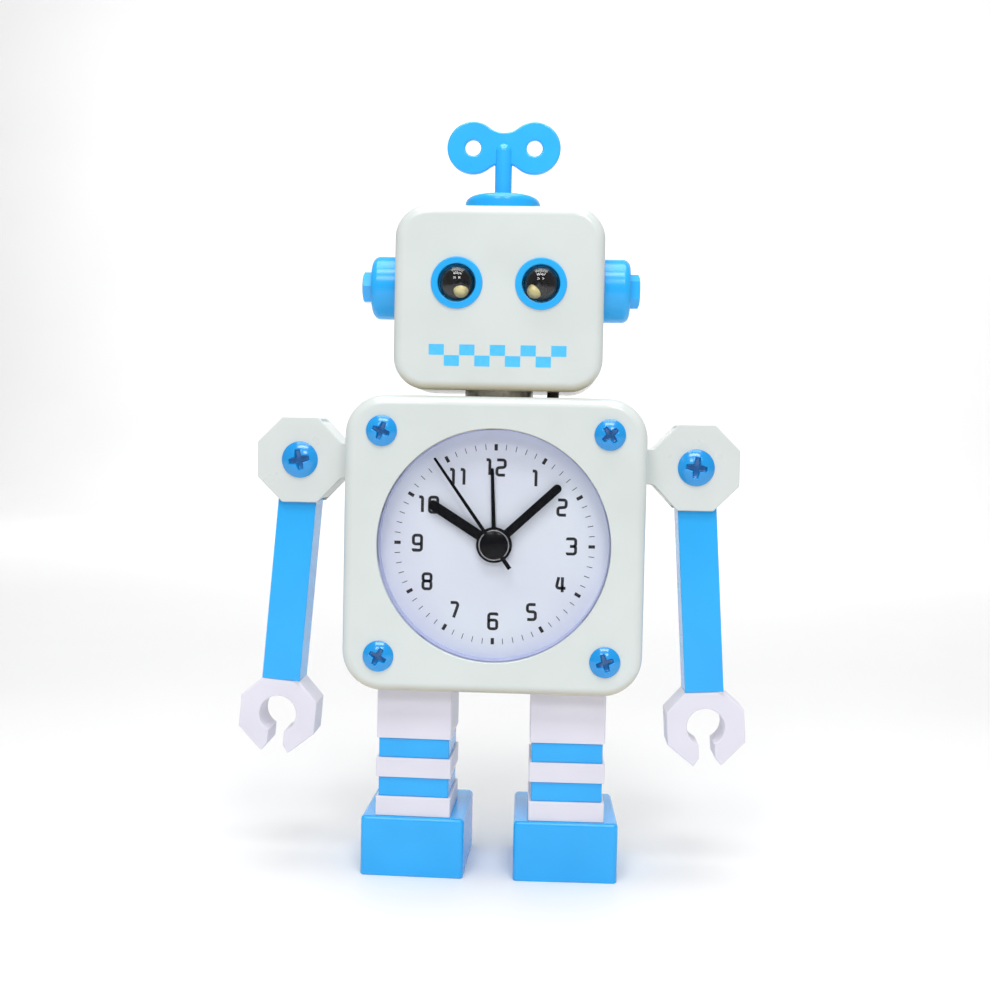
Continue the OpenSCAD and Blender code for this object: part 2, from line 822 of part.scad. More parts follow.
module m4_nuts() {
    inner = head_w / 2 - tin;
    color(steel) centred() for (side = [-1, 1]) {
        translate([side * inner, 0, eye_z]) rotate([0, -side * 90, 0])
            hex_nut(m4_nut_flats, m4_nut_t, m4 + fit);
        translate([side * arm_x, shoulder_d / 2, arm_z]) rotate([-90, 0, 0])
            hex_nut(m4_nut_flats, m4_nut_t, m4 + fit);
        translate([side * leg_x, 0, body_bottom + tin]) hex_nut(m4_nut_flats, m4_nut_t, m4 + fit);
    }
}

// The two leads of the eyes, from the circuit board up through the neck.
module wires() {
    lead_r = 0.5;
    lead_y = board_y + board_t + lead_r + 0.05;
    bottom = board_bottom + 8;
    board_back = -head_front + 11;
    color("red") centred() for (x = [-0.8, 0.8]) {
        translate([x, lead_y, bottom]) cylinder(r = lead_r, h = eye_z - bottom);
        translate([x, lead_y, eye_z]) sphere(r = lead_r);
        bar_y(x, board_back, eye_z, lead_r, lead_y - board_back);
    }
}

// ---------- Key ----------

module key() {
    spread = 9;
    waist = 4.45;
    blend_z = (spread * spread - (key_lobe - waist) * (key_lobe - waist)) / (2 * (key_lobe - waist));
    blend_r = blend_z - waist;
    stem_top = key_z - 1;
    stem_bottom = key_flange_top - 9.5;
    color(blue) centred() {
        translate([0, 0, key_z]) facing(-key_plate_t / 2) linear_extrude(key_plate_t) difference() {
            union() {
                for (x = [-1, 1]) translate([x * spread, 0]) circle(r = key_lobe);
                polygon([[-spread, 0], [0, -blend_z], [spread, 0], [0, blend_z]]);
            }
            for (y = [-1, 1]) translate([0, y * blend_z]) circle(r = blend_r);
            for (x = [-1, 1]) translate([x * spread, 0]) circle(r = 2.3);
        }
        translate([0, 0, stem_bottom]) cylinder(r = key_r, h = stem_top - stem_bottom);
        translate([0, 0, stem_top]) sphere(r = key_r);
        translate([0, 0, key_flange_top - key_flange_t]) cylinder(r = 5, h = key_flange_t);
    }
}

module key_collar() {
    round_r = 0.48 * collar_h;
    bore = key_r + fit;
    color(blue) centred() translate([0, 0, head_top]) rotate_extrude() {
        translate([bore, 0]) square([collar_r - bore, collar_h - round_r]);
        translate([bore, 0]) square([collar_r - round_r - bore, collar_h]);
        translate([collar_r - round_r, collar_h - round_r]) circle(r = round_r);
    }
}

// Return spring of the key, standing on its ledge under the key's flange.
module key_spring() {
    height = key_flange_top - key_flange_t - ledge_top - 2 * spring_wire - 0.05;
    steps = 20;
    count = spring_turns * steps;
    sides = 6;
    points = [
        for (i = [0:count], s = [0:sides - 1])
            let (turn = i * 360 / steps, around = s * 360 / sides)
            let (r = spring_r + spring_wire * cos(around), rise = height * i / count)
            [r * cos(turn), r * sin(turn), ledge_top + spring_wire * (1 + sin(around)) + rise]
    ];
    walls = [
        for (i = [0:count - 1], s = [0:sides - 1])
            let (a = i * sides + s, b = i * sides + (s + 1) % sides) [a, b, b + sides, a + sides]
    ];
    color(steel) centred() polyhedron(
        points,
        concat(walls, [[for (s = [sides - 1:-1:0]) s], [for (s = [0:sides - 1]) count * sides + s]])
    );
}

// A sleeve under the head's roof: the spring stands on its ledge, and the switch sits below it.
module switch_tube() {
    inner = 6.2;
    outer = 7.4;
    top = head_top - tin;
    bottom = head_top - 18;
    color(white) centred() rotate_extrude() polygon([
        [outer, bottom], [outer, top], [inner, top], [inner, ledge_top], [key_r + 0.4, ledge_top],
        [key_r + 0.4, ledge_top - 1.4], [inner, ledge_top - 1.4], [inner, bottom]
    ]);
}

module key_switch() {
    button_top = key_flange_top - 9.5 - key_travel - 0.3;
    seat = ledge_top - 1.4;
    base = head_top - 17.8;
    color([0.1, 0.1, 0.1]) centred() {
        translate([0, 0, base]) cylinder(r = 6.1, h = seat - base - 1.3);
        translate([0, 0, base + 1]) cylinder(r = 1.7, h = button_top - base - 1);
    }
}

// ---------- Neck ----------

module neck() {
    reach = tin + neck_nut_t + 0.6;
    color(steel) centred() difference() {
        union() {
            translate([0, 0, body_top]) cylinder(r = neck_r, h = neck_gap);
            translate([0, 0, body_top - reach]) cylinder(r = neck_spigot, h = neck_gap + 2 * reach);
        }
        translate([0, 0, body_top - 10]) cylinder(r = neck_bore, h = 30);
    }
}

module neck_nuts() {
    color(steel) centred() for (z = [body_top - tin - neck_nut_t, head_bottom + tin])
        translate([0, 0, z]) rotate(30) hex_nut(neck_nut_flats, neck_nut_t, neck_spigot + fit);
}

// Three short machine screws: one keeps the head from turning, two hold the shoulders.
module frame_screws() {
    inner = body_w / 2 - tin;
    color([0.25, 0.23, 0.22]) centred() {
        translate([neck_screw_x, 0, body_top - tin]) mirror([0, 0, 1]) pan_screw(3.1, 1.8, m35, 7);
        for (side = [-1, 1])
            translate([side * inner, 0, arm_z]) rotate([0, -side * 90, 0]) pan_screw(3.1, 1.8, m35, 7);
    }
}

// ---------- Arms ----------

module shoulders() {
    slot = arm_w + 0.6;
    across = 25;
    neck_h = 10;
    wall_x = arm_w / 2 + 0.4;
    color(ivory) centred() for (side = [-1, 1])
        translate([side * arm_x, 0, arm_z]) mirror([side > 0 ? 1 : 0, 0, 0]) difference() {
            union() {
                facing(-shoulder_d / 2) rotate(22.5)
                    cylinder(r = across / 2 / cos(22.5), h = shoulder_d, $fn = 8);
                translate([0, -shoulder_d / 2, -neck_h / 2]) cube([arm_x - body_w / 2, shoulder_d, neck_h]);
            }
            translate([-20, -slot / 2, -20]) cube([20 + wall_x, slot, 40]);
            bar_y(0, -10, 0, m4 + fit, 20);
            bar_x(arm_x - body_w / 2 - 6.2, 0, 0, m35 + fit, 10);
        }
}

module shoulder_screws() {
    color(blue) centred() for (side = [-1, 1])
        translate([side * arm_x, -shoulder_d / 2, arm_z]) rotate([90, 0, 0])
            pan_screw(5.3, 2.4, m4, shoulder_d + 4, side < 0 ? 4 : -8);
}

// Hangs a piece from an arm's pivot: drawn pointing down, then turned outward by hang.
module on_pivot(side, hang) {
    translate([side * arm_x, 0, arm_z]) rotate([0, -side * hang, 0]) children();
}

module arm(side, hang) {
    color(blue) centred() on_pivot(side, hang) difference() {
        union() {
            bar_y(0, -arm_w / 2, 0, arm_w / 2, arm_w);
            translate([-arm_w / 2, -arm_w / 2, -arm_l]) cube([arm_w, arm_w, arm_l]);
        }
        bar_y(0, -10, 0, m4 + fit, 20);
        translate([-socket / 2, -socket / 2, -arm_l - 1]) cube([socket, socket, peg_l + 1.2]);
    }
}

module arm_left() {
    arm(-1, left_hang);
}

module arm_right() {
    arm(1, right_hang);
}

// A claw: a C with bevelled corners, and a peg that sits in the arm's socket.
module claw(side, hang) {
    half = 11.35;
    length = 21.9;
    centre = 10.4;
    bevel_top = 5.7;
    bevel_bottom = 15.2;
    mouth = 2.3;
    tip = 3.9;
    peg = socket - 0.1;
    color(white) centred() on_pivot(side, hang) translate([0, 0, -arm_l]) {
        facing(-arm_w / 2) linear_extrude(arm_w) difference() {
            polygon([
                [-arm_w / 2, 0], [-half, -bevel_top], [-half, -bevel_bottom], [-tip - 0.3, -length],
                [tip + 0.3, -length], [half, -bevel_bottom], [half, -bevel_top], [arm_w / 2, 0]
            ]);
            translate([0, -centre]) circle(r = claw_r);
            polygon([
                [-mouth, -centre], [-mouth, 2.4 - length], [-tip, -length - 0.01],
                [tip, -length - 0.01], [mouth, 2.4 - length], [mouth, -centre]
            ]);
        }
        translate([-peg / 2, -peg / 2, 0]) cube([peg, peg, peg_l]);
    }
}

module claw_left() {
    claw(-1, left_hang);
}

module claw_right() {
    claw(1, right_hang);
}

// ---------- Legs ----------

// Places a piece on both legs, turned outward.
module on_legs(z) {
    for (side = [-1, 1]) translate([side * leg_x, 0, z]) rotate(side * toe_out) children();
}

module leg_slab(w, h) {
    difference() {
        translate([0, 0, h / 2]) cube([w, w, h], center = true);
        translate([0, 0, -1]) cylinder(r = m4 + fit, h = h + 2);
    }
}

module thighs() {
    color(white) centred() on_legs(foot_h + 4 * slab_h) leg_slab(leg_w - 0.2, thigh_h);
}

module blue_slabs() {
    color(blue) centred() for (level = [1, 3])
        on_legs(foot_h + level * slab_h) leg_slab(leg_w - 1.4, slab_h);
}

module white_slabs() {
    color(white) centred() for (level = [0, 2])
        on_legs(foot_h + level * slab_h) leg_slab(leg_w, slab_h);
}

module feet() {
    heel = foot_l - 12.2;
    edge = 1.4;
    color(blue) centred() on_legs(0) difference() {
        translate([0, heel - foot_l / 2, foot_h]) mirror([0, 0, 1])
            rolled_box(foot_w, foot_l, foot_h, edge + 0.1, edge);
        translate([0, 0, -1]) cylinder(r = m4 + fit, h = foot_h + 2);
        translate([0, 0, -1]) cylinder(r = 4.6, h = 5);
    }
}

module leg_bolts() {
    bolt_l = body_bottom - 4 + tin + m4_nut_t + 0.4;
    color(steel) centred() for (side = [-1, 1])
        translate([side * leg_x, 0, 4]) mirror([0, 0, 1]) pan_screw(3.8, 2.6, m4, bolt_l, 15);
}

body_shell();
body_back();
body_screws();
cover_screws();
dial_frame();
dial_lens();
dial_plate();
hour_hand();
minute_hand();
alarm_hand();
second_hand();
movement_case();
movement_cover();
hour_wheel();
minute_arbor();
alarm_wheel();
second_arbor();
motion_wheel();
alarm_arbor();
time_knob();
alarm_knob();
drive_coil();
circuit_board();
buzzer();
switch_housing();
alarm_switch();
battery_box();
battery_contacts();
batteries();
battery_door();
head_shell();
head_back();
eye_bezels();
eye_lenses();
eye_reflectors();
eye_leds();
eye_board();
ear_cups();
ear_bolts();
m4_nuts();
wires();
key();
key_collar();
key_spring();
switch_tube();
key_switch();
neck();
neck_nuts();
frame_screws();
shoulders();
shoulder_screws();
arm_left();
arm_right();
claw_left();
claw_right();
thighs();
blue_slabs();
white_slabs();
feet();
leg_bolts();
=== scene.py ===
"""Looks of the toy robot alarm clock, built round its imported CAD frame. Lengths are in metres."""

import json
import math

import bmesh
import bpy
from mathutils import Euler, Matrix, Vector


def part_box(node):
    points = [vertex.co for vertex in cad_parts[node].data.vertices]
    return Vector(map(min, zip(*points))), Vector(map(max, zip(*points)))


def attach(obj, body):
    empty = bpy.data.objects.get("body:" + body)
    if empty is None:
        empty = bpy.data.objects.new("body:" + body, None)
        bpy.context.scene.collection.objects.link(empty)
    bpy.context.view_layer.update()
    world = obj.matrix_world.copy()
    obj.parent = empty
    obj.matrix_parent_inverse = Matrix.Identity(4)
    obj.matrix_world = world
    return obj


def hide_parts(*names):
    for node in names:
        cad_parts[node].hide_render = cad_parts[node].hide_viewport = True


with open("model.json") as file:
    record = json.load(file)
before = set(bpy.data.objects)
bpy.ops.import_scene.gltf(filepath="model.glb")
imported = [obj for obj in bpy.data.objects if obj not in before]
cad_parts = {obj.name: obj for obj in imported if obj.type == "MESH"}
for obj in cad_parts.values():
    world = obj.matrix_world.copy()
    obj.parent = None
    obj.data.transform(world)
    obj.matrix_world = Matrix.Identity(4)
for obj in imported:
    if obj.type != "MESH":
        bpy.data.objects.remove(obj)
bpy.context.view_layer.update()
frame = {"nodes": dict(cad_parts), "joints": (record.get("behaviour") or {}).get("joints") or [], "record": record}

MM = 0.001
SLOT_OF = {row["node"]: row["material_slot"] for row in frame["record"]["subparts"]}
JOINTS = {joint["name"]: joint for joint in frame["joints"]}
SIDES = {-1: "left", 1: "right"}

# Thickness of the pressed tin of head and body, and the radius of its rolled front edge
TIN = 1.2 * MM
ROLL = 3 * MM

# Thickness of printed ink, and how far it stands out of the surface it is printed on
PRINT_T = 0.03 * MM
PRINT_RISE = 0.02 * MM


class Extent:
    """The box of a CAD node: its corners, middle and size."""

    def __init__(self, node):
        self.low, self.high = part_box(node)
        self.mid = (self.low + self.high) / 2
        self.size = self.high - self.low


def shoulder_pivot(side):
    """A point on the axis that the left (-1) or right (1) arm swings round."""
    return JOINTS[f"arm_{SIDES[side]}_swing"]["pos_m"]


# ---------- Colours and materials ----------


def rgb(red, green, blue):
    """A linear colour from its 0 to 255 screen values."""
    return tuple(
        c / 12.92 if c <= 0.04045 else ((c + 0.055) / 1.055) ** 2.4
        for c in (red / 255, green / 255, blue / 255)
    ) + (1,)


class Finish:
    """A Principled material with short calls for its procedural detail."""

    def __init__(self, name, colour, roughness, **inputs):
        self.material = bpy.data.materials.new(name)
        self.material.use_nodes = True
        self.nodes = self.material.node_tree.nodes
        self.links = self.material.node_tree.links
        self.shader = self.nodes["Principled BSDF"]
        self.colour = colour
        self.shader.inputs["Base Color"].default_value = colour
        self.shader.inputs["Roughness"].default_value = roughness
        for key, value in inputs.items():
            self.shader.inputs[key.replace("_", " ")].default_value = value
        self.place = self.nodes.new("ShaderNodeTexCoord").outputs["Object"]
        self.normal = None

    def noise(self, size, detail=2, stretch=None):
        """Noise with features of about this size."""
        texture = self.nodes.new("ShaderNodeTexNoise")
        texture.inputs["Scale"].default_value = 1 / size
        texture.inputs["Detail"].default_value = detail
        place = self.place
        if stretch:
            mapping = self.nodes.new("ShaderNodeMapping")
            mapping.inputs["Scale"].default_value = stretch
            self.links.new(place, mapping.inputs["Vector"])
            place = mapping.outputs["Vector"]
        self.links.new(place, texture.inputs["Vector"])
        return texture.outputs["Fac"]

    def remap(self, source, low, high, start=0.3, end=0.7):
        """Source between start and end, as a number from low to high."""
        node = self.nodes.new("ShaderNodeMapRange")
        node.inputs["From Min"].default_value = start
        node.inputs["From Max"].default_value = end
        node.inputs["To Min"].default_value = low
        node.inputs["To Max"].default_value = high
        self.links.new(source, node.inputs["Value"])
        return node.outputs["Result"]

    def vary_roughness(self, size, low, high):
        self.links.new(self.remap(self.noise(size), low, high), self.shader.inputs["Roughness"])
        return self

    def tint(self, source, other, start=0.35, end=0.75):
        """Mixes another colour in where source is high."""
        mix = self.nodes.new("ShaderNodeMix")
        mix.data_type = "RGBA"
        self.links.new(self.remap(source, 0, 1, start, end), mix.inputs["Factor"])
        socket = self.shader.inputs["Base Color"]
        if socket.is_linked:
            self.links.new(socket.links[0].from_socket, mix.inputs["A"])
        else:
            mix.inputs["A"].default_value = self.colour
        mix.inputs["B"].default_value = other
        self.links.new(mix.outputs["Result"], socket)
        return self

    def bump(self, source, height):
        """Raises the surface by up to height where source is high."""
        node = self.nodes.new("ShaderNodeBump")
        node.inputs["Strength"].default_value = 1
        node.inputs["Distance"].default_value = height
        self.links.new(source, node.inputs["Height"])
        if self.normal:
            self.links.new(self.normal, node.inputs["Normal"])
        self.normal = node.outputs["Normal"]
        self.links.new(self.normal, self.shader.inputs["Normal"])
        return self

    def underside(self, other, strength):
        """Tints faces that look down warmer and darker: painted warm shade from below."""
        geometry = self.nodes.new("ShaderNodeNewGeometry")
        split = self.nodes.new("ShaderNodeSeparateXYZ")
        self.links.new(geometry.outputs["Normal"], split.inputs["Vector"])
        # Painted shade: the more a face looks down, the more of the warm dark colour it gets
        down = self.remap(split.outputs["Z"], strength, 0, -0.95, -0.2)
        return self.tint(down, other, 0, 1)


def painted(name, colour, other, roughness=0.3):
    """Gloss paint over metal: a faint orange peel, and slight unevenness in colour."""
    finish = Finish(name, colour, roughness, Coat_Weight=0.5, Coat_Roughness=0.07)
    finish.tint(finish.noise(14 * MM, 1), other)
    finish.vary_roughness(8 * MM, roughness - 0.01, roughness + 0.02)
    finish.bump(finish.noise(9 * MM, 0), 0.006 * MM)
    return finish


def moulded(name, colour, other, roughness, soft=0.0):
    """Moulded plastic: an uneven sheen, flow marks and slight fading."""
    finish = Finish(name, colour, roughness)
    finish.shader.inputs["Subsurface Weight"].default_value = soft
    finish.shader.inputs["Subsurface Radius"].default_value = (1, 0.9, 0.9)
    finish.shader.inputs["Subsurface Scale"].default_value = 1.2 * MM
    finish.tint(finish.noise(18 * MM, 1), other)
    finish.vary_roughness(8 * MM, roughness - 0.01, roughness + 0.02)
    return finish


def bare_metal(name, colour, roughness, stretch=(1, 1, 40)):
    """Machined metal: fine lines across it, and a little tarnish."""
    finish = Finish(name, colour, roughness, Metallic=1)
    dark = tuple(c * 0.55 for c in colour[:3]) + (1,)
    finish.tint(finish.noise(3 * MM, 4), dark, 0.45, 0.8)
    finish.vary_roughness(1.5 * MM, roughness - 0.08, roughness + 0.12)
    finish.bump(finish.noise(2.5 * MM, 3, stretch), 0.01 * MM)
    return finish


def ivory_paint():
    finish = painted("ivory_paint", rgb(215, 222, 220), rgb(211, 218, 215), 0.32)
    # Faces that look down get painted warm shade
    return finish.underside(rgb(190, 178, 146), 1)


def ivory_plastic():
    finish = moulded("ivory_plastic", rgb(216, 222, 220), rgb(211, 217, 215), 0.28)
    # Faces that look down get painted warm shade
    return finish.underside(rgb(190, 182, 160), 0.6)


def blue_plastic():
    return moulded("blue_plastic", rgb(38, 176, 250), rgb(34, 170, 245), 0.22)


def blue_metal():
    return painted("blue_metal", rgb(44, 186, 255), rgb(38, 178, 250), 0.2)


def screw_paint():
    """Blue paint, with painted shade darkening it inside the cross recess."""
    finish = painted("screw_paint", rgb(12, 152, 228), rgb(8, 144, 220), 0.2)
    recess = finish.nodes.new("ShaderNodeAttribute")
    recess.attribute_name = "recess"
    # Painted shade: the recess is tinted dark blue by how sunk each vertex is
    return finish.tint(recess.outputs["Fac"], rgb(12, 96, 160), 0.1, 1)


def white_plastic():
    return moulded("white_plastic", rgb(228, 226, 237), rgb(223, 221, 233), 0.38, soft=0.25)


def dial_face():
    finish = Finish("dial_face", rgb(228, 235, 246), 0.42)
    finish.tint(finish.noise(25 * MM, 1), rgb(220, 224, 240))
    finish.vary_roughness(2 * MM, 0.38, 0.5)
    finish.bump(finish.noise(0.5 * MM, 2), 0.003 * MM)
    return finish


def well_wall():
    """The lavender wall between the dial and the chest opening, darker and bluer than the dial's white plastic:
    its own tint with painted shade of the recess.
    """
    finish = Finish("dial_well", rgb(188, 196, 232), 0.4)
    finish.tint(finish.noise(6 * MM, 2), rgb(178, 187, 226))
    finish.vary_roughness(3 * MM, 0.34, 0.48)
    finish.bump(finish.noise(0.9 * MM, 1), 0.0012 * MM)
    return finish


def ink(name, colour, other):
    """Printed ink: slightly uneven, with a fine edge to its film."""
    finish = Finish(name, colour, 0.42)
    finish.tint(finish.noise(1.2 * MM, 3), other)
    finish.vary_roughness(0.8 * MM, 0.36, 0.5)
    finish.bump(finish.noise(0.3 * MM, 2), 0.003 * MM)
    return finish


def black_gloss():
    finish = Finish("black_hand", rgb(4, 4, 7), 0.2, IOR=1.25)
    finish.tint(finish.noise(4 * MM, 2), rgb(9, 9, 14))
    finish.vary_roughness(1.5 * MM, 0.14, 0.24)
    return finish


def black_plastic():
    return moulded("black_plastic", rgb(22, 22, 25), rgb(32, 32, 35), 0.42)


def clear_glass():
    finish = Finish("eye_glass", (1, 1, 1, 1), 0.02, Transmission_Weight=1, IOR=1.4)
    finish.vary_roughness(3 * MM, 0.0, 0.03)
    return finish


def eye_black():
    """The glossy dark inside of an eye. On the lamps it is painted shade: their clear bodies are made dark as if
    seen in the dark of the cup.
    """
    finish = Finish("eye_black", rgb(5, 5, 12), 0.3, IOR=1.2)
    finish.tint(finish.noise(3 * MM, 2), rgb(14, 12, 24))
    finish.vary_roughness(2 * MM, 0.24, 0.4)
    finish.bump(finish.noise(2.5 * MM, 1), 0.003 * MM)
    return finish


def thin_lens():
    finish = Finish("dial_lens", rgb(60, 64, 72), 0.05, Alpha=0.03)
    finish.vary_roughness(12 * MM, 0.03, 0.08)
    finish.bump(finish.noise(8 * MM, 1), 0.002 * MM)
    return finish


def led_body():
    finish = Finish("led", rgb(250, 236, 170), 0.15, Emission_Color=rgb(255, 240, 170))
    finish.shader.inputs["Emission Strength"].default_value = 0.12
    finish.tint(finish.noise(0.9 * MM, 2), rgb(226, 206, 120))
    finish.vary_roughness(1 * MM, 0.1, 0.25)
    finish.bump(finish.noise(0.8 * MM, 1), 0.01 * MM)
    return finish


def circuit_green():
    finish = Finish("green_board", rgb(20, 84, 48), 0.35, Coat_Weight=0.3)
    finish.tint(finish.noise(2.5 * MM, 4, (1, 1, 4)), rgb(58, 128, 74), 0.52, 0.56)
    finish.vary_roughness(1 * MM, 0.3, 0.45)
    finish.bump(finish.noise(1.2 * MM, 2), 0.02 * MM)
    return finish


FINISHES = {
    "ivory_paint": ivory_paint(),
    "ivory_plastic": ivory_plastic(),
    "blue_plastic": blue_plastic(),
    "blue_metal": blue_metal(),
    "white_plastic": white_plastic(),
    "dial_face": dial_face(),
    "black_hand": black_gloss(),
    "black_plastic": black_plastic(),
    "clear_plastic": thin_lens(),
    "steel": bare_metal("steel", rgb(196, 190, 176), 0.32),
    "dark_steel": bare_metal("dark_steel", rgb(84, 78, 72), 0.38),
    "brass": bare_metal("brass", rgb(214, 178, 96), 0.3),
    "copper_coil": bare_metal("copper_coil", rgb(190, 104, 62), 0.3, (1, 30, 1)),
    "green_board": circuit_green(),
    "led": led_body(),
    "spring_steel": bare_metal("spring_steel", rgb(190, 190, 192), 0.25),
    "cell_wrap": moulded("cell_wrap", rgb(206, 116, 38), rgb(196, 106, 32), 0.3),
    "wire_red": moulded("wire_red", rgb(186, 34, 34), rgb(172, 28, 30), 0.4),
}
EYE_GLASS = clear_glass()
DIAL_INK = ink("dial_ink", rgb(16, 18, 24), rgb(24, 26, 33))
MOUTH_INK = ink("mouth_ink", rgb(80, 198, 252), rgb(74, 190, 246))
SHADED_DIAL_WELL = well_wall()
SCREW_PAINT_RECESS_SHADE = screw_paint()
EYE_WELL = eye_black()


# ---------- Outlines ----------


def arc(centre, radius, start, end, steps):
    """Points on an arc, with angles in degrees."""
    angles = [math.radians(start + (end - start) * i / steps) for i in range(steps + 1)]
    return [(centre[0] + radius * math.cos(a), centre[1] + radius * math.sin(a)) for a in angles]


def circle(centre, radius, steps=64):
    return arc(centre, radius, 0, 360, steps)[:-1]


def rounded(corners, closed=True, steps=6):
    """Turns corners given as (u, v, radius) into arcs; a corner without a radius stays sharp."""
    points = []
    count = len(corners)
    for i, corner in enumerate(corners):
        here = Vector(corner[:2])
        radius = corner[2] if len(corner) > 2 else 0
        if radius == 0 or (not closed and i in (0, count - 1)):
            points.append(tuple(here))
            continue
        back = (Vector(corners[i - 1][:2]) - here).normalized()
        ahead = (Vector(corners[(i + 1) % count][:2]) - here).normalized()
        half = back.angle(ahead) / 2
        centre = here + (back + ahead).normalized() * radius / math.sin(half)
        first = here + back * radius / math.tan(half) - centre
        turn = first.angle_signed(here + ahead * radius / math.tan(half) - centre)
        for k in range(steps + 1):
            spoke = first.copy()
            spoke.rotate(Matrix.Rotation(-turn * k / steps, 2))
            points.append(tuple(centre + spoke))
    return points


def rectangle(width, height, radius=0, steps=6):
    u, v = width / 2, height / 2
    corners = [(u, -v, radius), (u, v, radius), (-u, v, radius), (-u, -v, radius)]
    return rounded(corners, steps=steps)


def moved(loop, u, v):
    return [(p[0] + u, p[1] + v) for p in loop]


def inset(loop, distance, closed=True):
    """The loop moved to its left by distance, so inward where it runs anticlockwise."""
    result = []
    count = len(loop)
    for i, point in enumerate(loop):
        here = Vector(point)
        back = here - Vector(loop[i - 1])
        ahead = Vector(loop[(i + 1) % count]) - here
        if not closed and i == 0:
            back = ahead
        if not closed and i == count - 1:
            ahead = back
        left = [Vector((-d.y, d.x)).normalized() for d in (back, ahead)]
        middle = (left[0] + left[1]).normalized()
        result.append(tuple(here + middle * distance / max(0.3, middle.dot(left[0]))))
    return result


# ---------- Meshes ----------


def ring(bm, loop, depth):
    """A ring of vertices that faces -Y: drawing u is X, v is Z, and depth runs along +Y."""
    return [bm.verts.new((u, depth, v)) for u, v in loop]


def bridge(bm, rings, closed=True):
    """Faces between one ring of vertices and the next."""
    for near, far in zip(rings, rings[1:]):
        count = len(near)
        for i in range(count if closed else count - 1):
            j = (i + 1) % count
            bm.faces.new((near[i], near[j], far[j], far[i]))


def fill(bm, rings):
    """One flat face area bounded by these rings, the first outside and the others holes."""
    sides = [(r[i - 1], r[i]) for r in rings for i in range(len(r))]
    edges = [bm.edges.get(side) or bm.edges.new(side) for side in sides]
    bmesh.ops.triangle_fill(bm, use_beauty=True, use_dissolve=False, edges=edges)


def from_face(bm, loop, radius, steps):
    """Rings over the rounded edge of the front face, from the face at depth 0 to the side."""
    rings = []
    for k in range(steps + 1):
        a = math.radians(90 * k / steps)
        rings.append(ring(bm, inset(loop, radius * (1 - math.sin(a))), radius * (1 - math.cos(a))))
    return rings


def to_face(bm, loop, radius, steps, face, way, margin=0):
    """Rings from the side, margin inside loop, to a flat face at this depth.

    The side lies behind the face where way is 1, and in front of it where way is -1.
    """
    rings = []
    for k in range(steps, -1, -1):
        a = math.radians(90 * k / steps)
        outline = inset(loop, margin + radius * (1 - math.sin(a)))
        rings.append(ring(bm, outline, face + way * radius * (1 - math.cos(a))))
    return rings


def rim_rings(bm, loop, depth, front_edge, back_edge, steps):
    """Rings down the side of a plate, rounded by front_edge and back_edge."""
    return from_face(bm, loop, front_edge, steps) + to_face(bm, loop, back_edge, steps, depth, -1)


def plate(outline, depth, edge, holes=(), back_edge=None, steps=4):
    """A solid plate with rounded rims, its front at depth 0. Holes are anticlockwise loops too."""
    bm = bmesh.new()
    back_edge = edge if back_edge is None else back_edge
    sides = [rim_rings(bm, outline, depth, edge, back_edge, steps)]
    sides += [rim_rings(bm, hole[::-1], depth, edge, back_edge, steps) for hole in holes]
    for rings in sides:
        bridge(bm, rings)
    fill(bm, [rings[0] for rings in sides])
    fill(bm, [rings[-1] for rings in sides])
    return bm


def tin_shell(outline, depth, edge, wall, holes=(), lip=0.35 * MM):
    """A pressed tin box, open at the back, with a rolled front edge and a small lip round each hole."""
    bm = bmesh.new()
    steps = 10
    chamfer = 0.15 * MM
    rings = from_face(bm, outline, edge, steps)
    rings.append(ring(bm, outline, depth - chamfer))
    rings.append(ring(bm, inset(outline, chamfer), depth))
    rings.append(ring(bm, inset(outline, wall), depth))
    rings += to_face(bm, outline, edge - wall, steps, wall, 1, wall)
    bridge(bm, rings)
    sides = [rings]
    for hole in holes:
        sides.append(rim_rings(bm, hole[::-1], wall, lip, lip * 0.3, 4))
        bridge(bm, sides[-1])
    fill(bm, [side[0] for side in sides])
    fill(bm, [side[-1] for side in sides])
    return bm


def weave(bm, rings):
    """Faces between closed rings; a ring that repeats one vertex is a point."""
    for near, far in zip(rings, rings[1:]):
        for i in range(len(near)):
            j = (i + 1) % len(near)
            corners = list(dict.fromkeys((near[i], near[j], far[j], far[i])))
            if len(corners) > 2:
                bm.faces.new(corners)


def lathe(profile, segments=72):
    """A solid turned round the Y axis, from points (radius, depth) that run from front to back."""
    bm = bmesh.new()
    rings = []
    for radius, depth in profile:
        if radius < 1e-7:
            rings.append([bm.verts.new((0, depth, 0))] * segments)
        else:
            rings.append(ring(bm, circle((0, 0), radius, segments), depth))
    weave(bm, rings)
    return bm


def place(bm, where=(0, 0, 0), turn=(0, 0, 0)):
    """Moves a mesh to its place, after turning it by degrees round X, Y and Z."""
    spin = Euler([math.radians(a) for a in turn]).to_matrix().to_4x4()
    bm.transform(Matrix.Translation(where) @ spin)
    return bm


def joined(meshes):
    """One mesh from several."""
    bm = bmesh.new()
    for part in meshes:
        mesh = bpy.data.meshes.new("part")
        part.to_mesh(mesh)
        part.free()
        bm.from_mesh(mesh)
        bpy.data.meshes.remove(mesh)
    return bm


def build(name, bm, body, slot, stands_for=(), finish=None, crease=35):
    """Makes a piece from a mesh, riding on a CAD body, in a record slot's finish or its own."""
    bmesh.ops.recalc_face_normals(bm, faces=bm.faces)
    mesh = bpy.data.meshes.new(name)
    bm.to_mesh(mesh)
    bm.free()
    mesh.shade_smooth()
    mesh.set_sharp_from_angle(angle=math.radians(crease))
    piece = bpy.data.objects.new(name, mesh)
    bpy.context.scene.collection.objects.link(piece)
    mesh.materials.append((finish or FINISHES[slot]).material)
    normals = piece.modifiers.new("flat_faces", "WEIGHTED_NORMAL")
    normals.keep_sharp = True
    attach(piece, body)
    if stands_for:
        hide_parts(*stands_for)
    return piece


# ---------- Head and body ----------


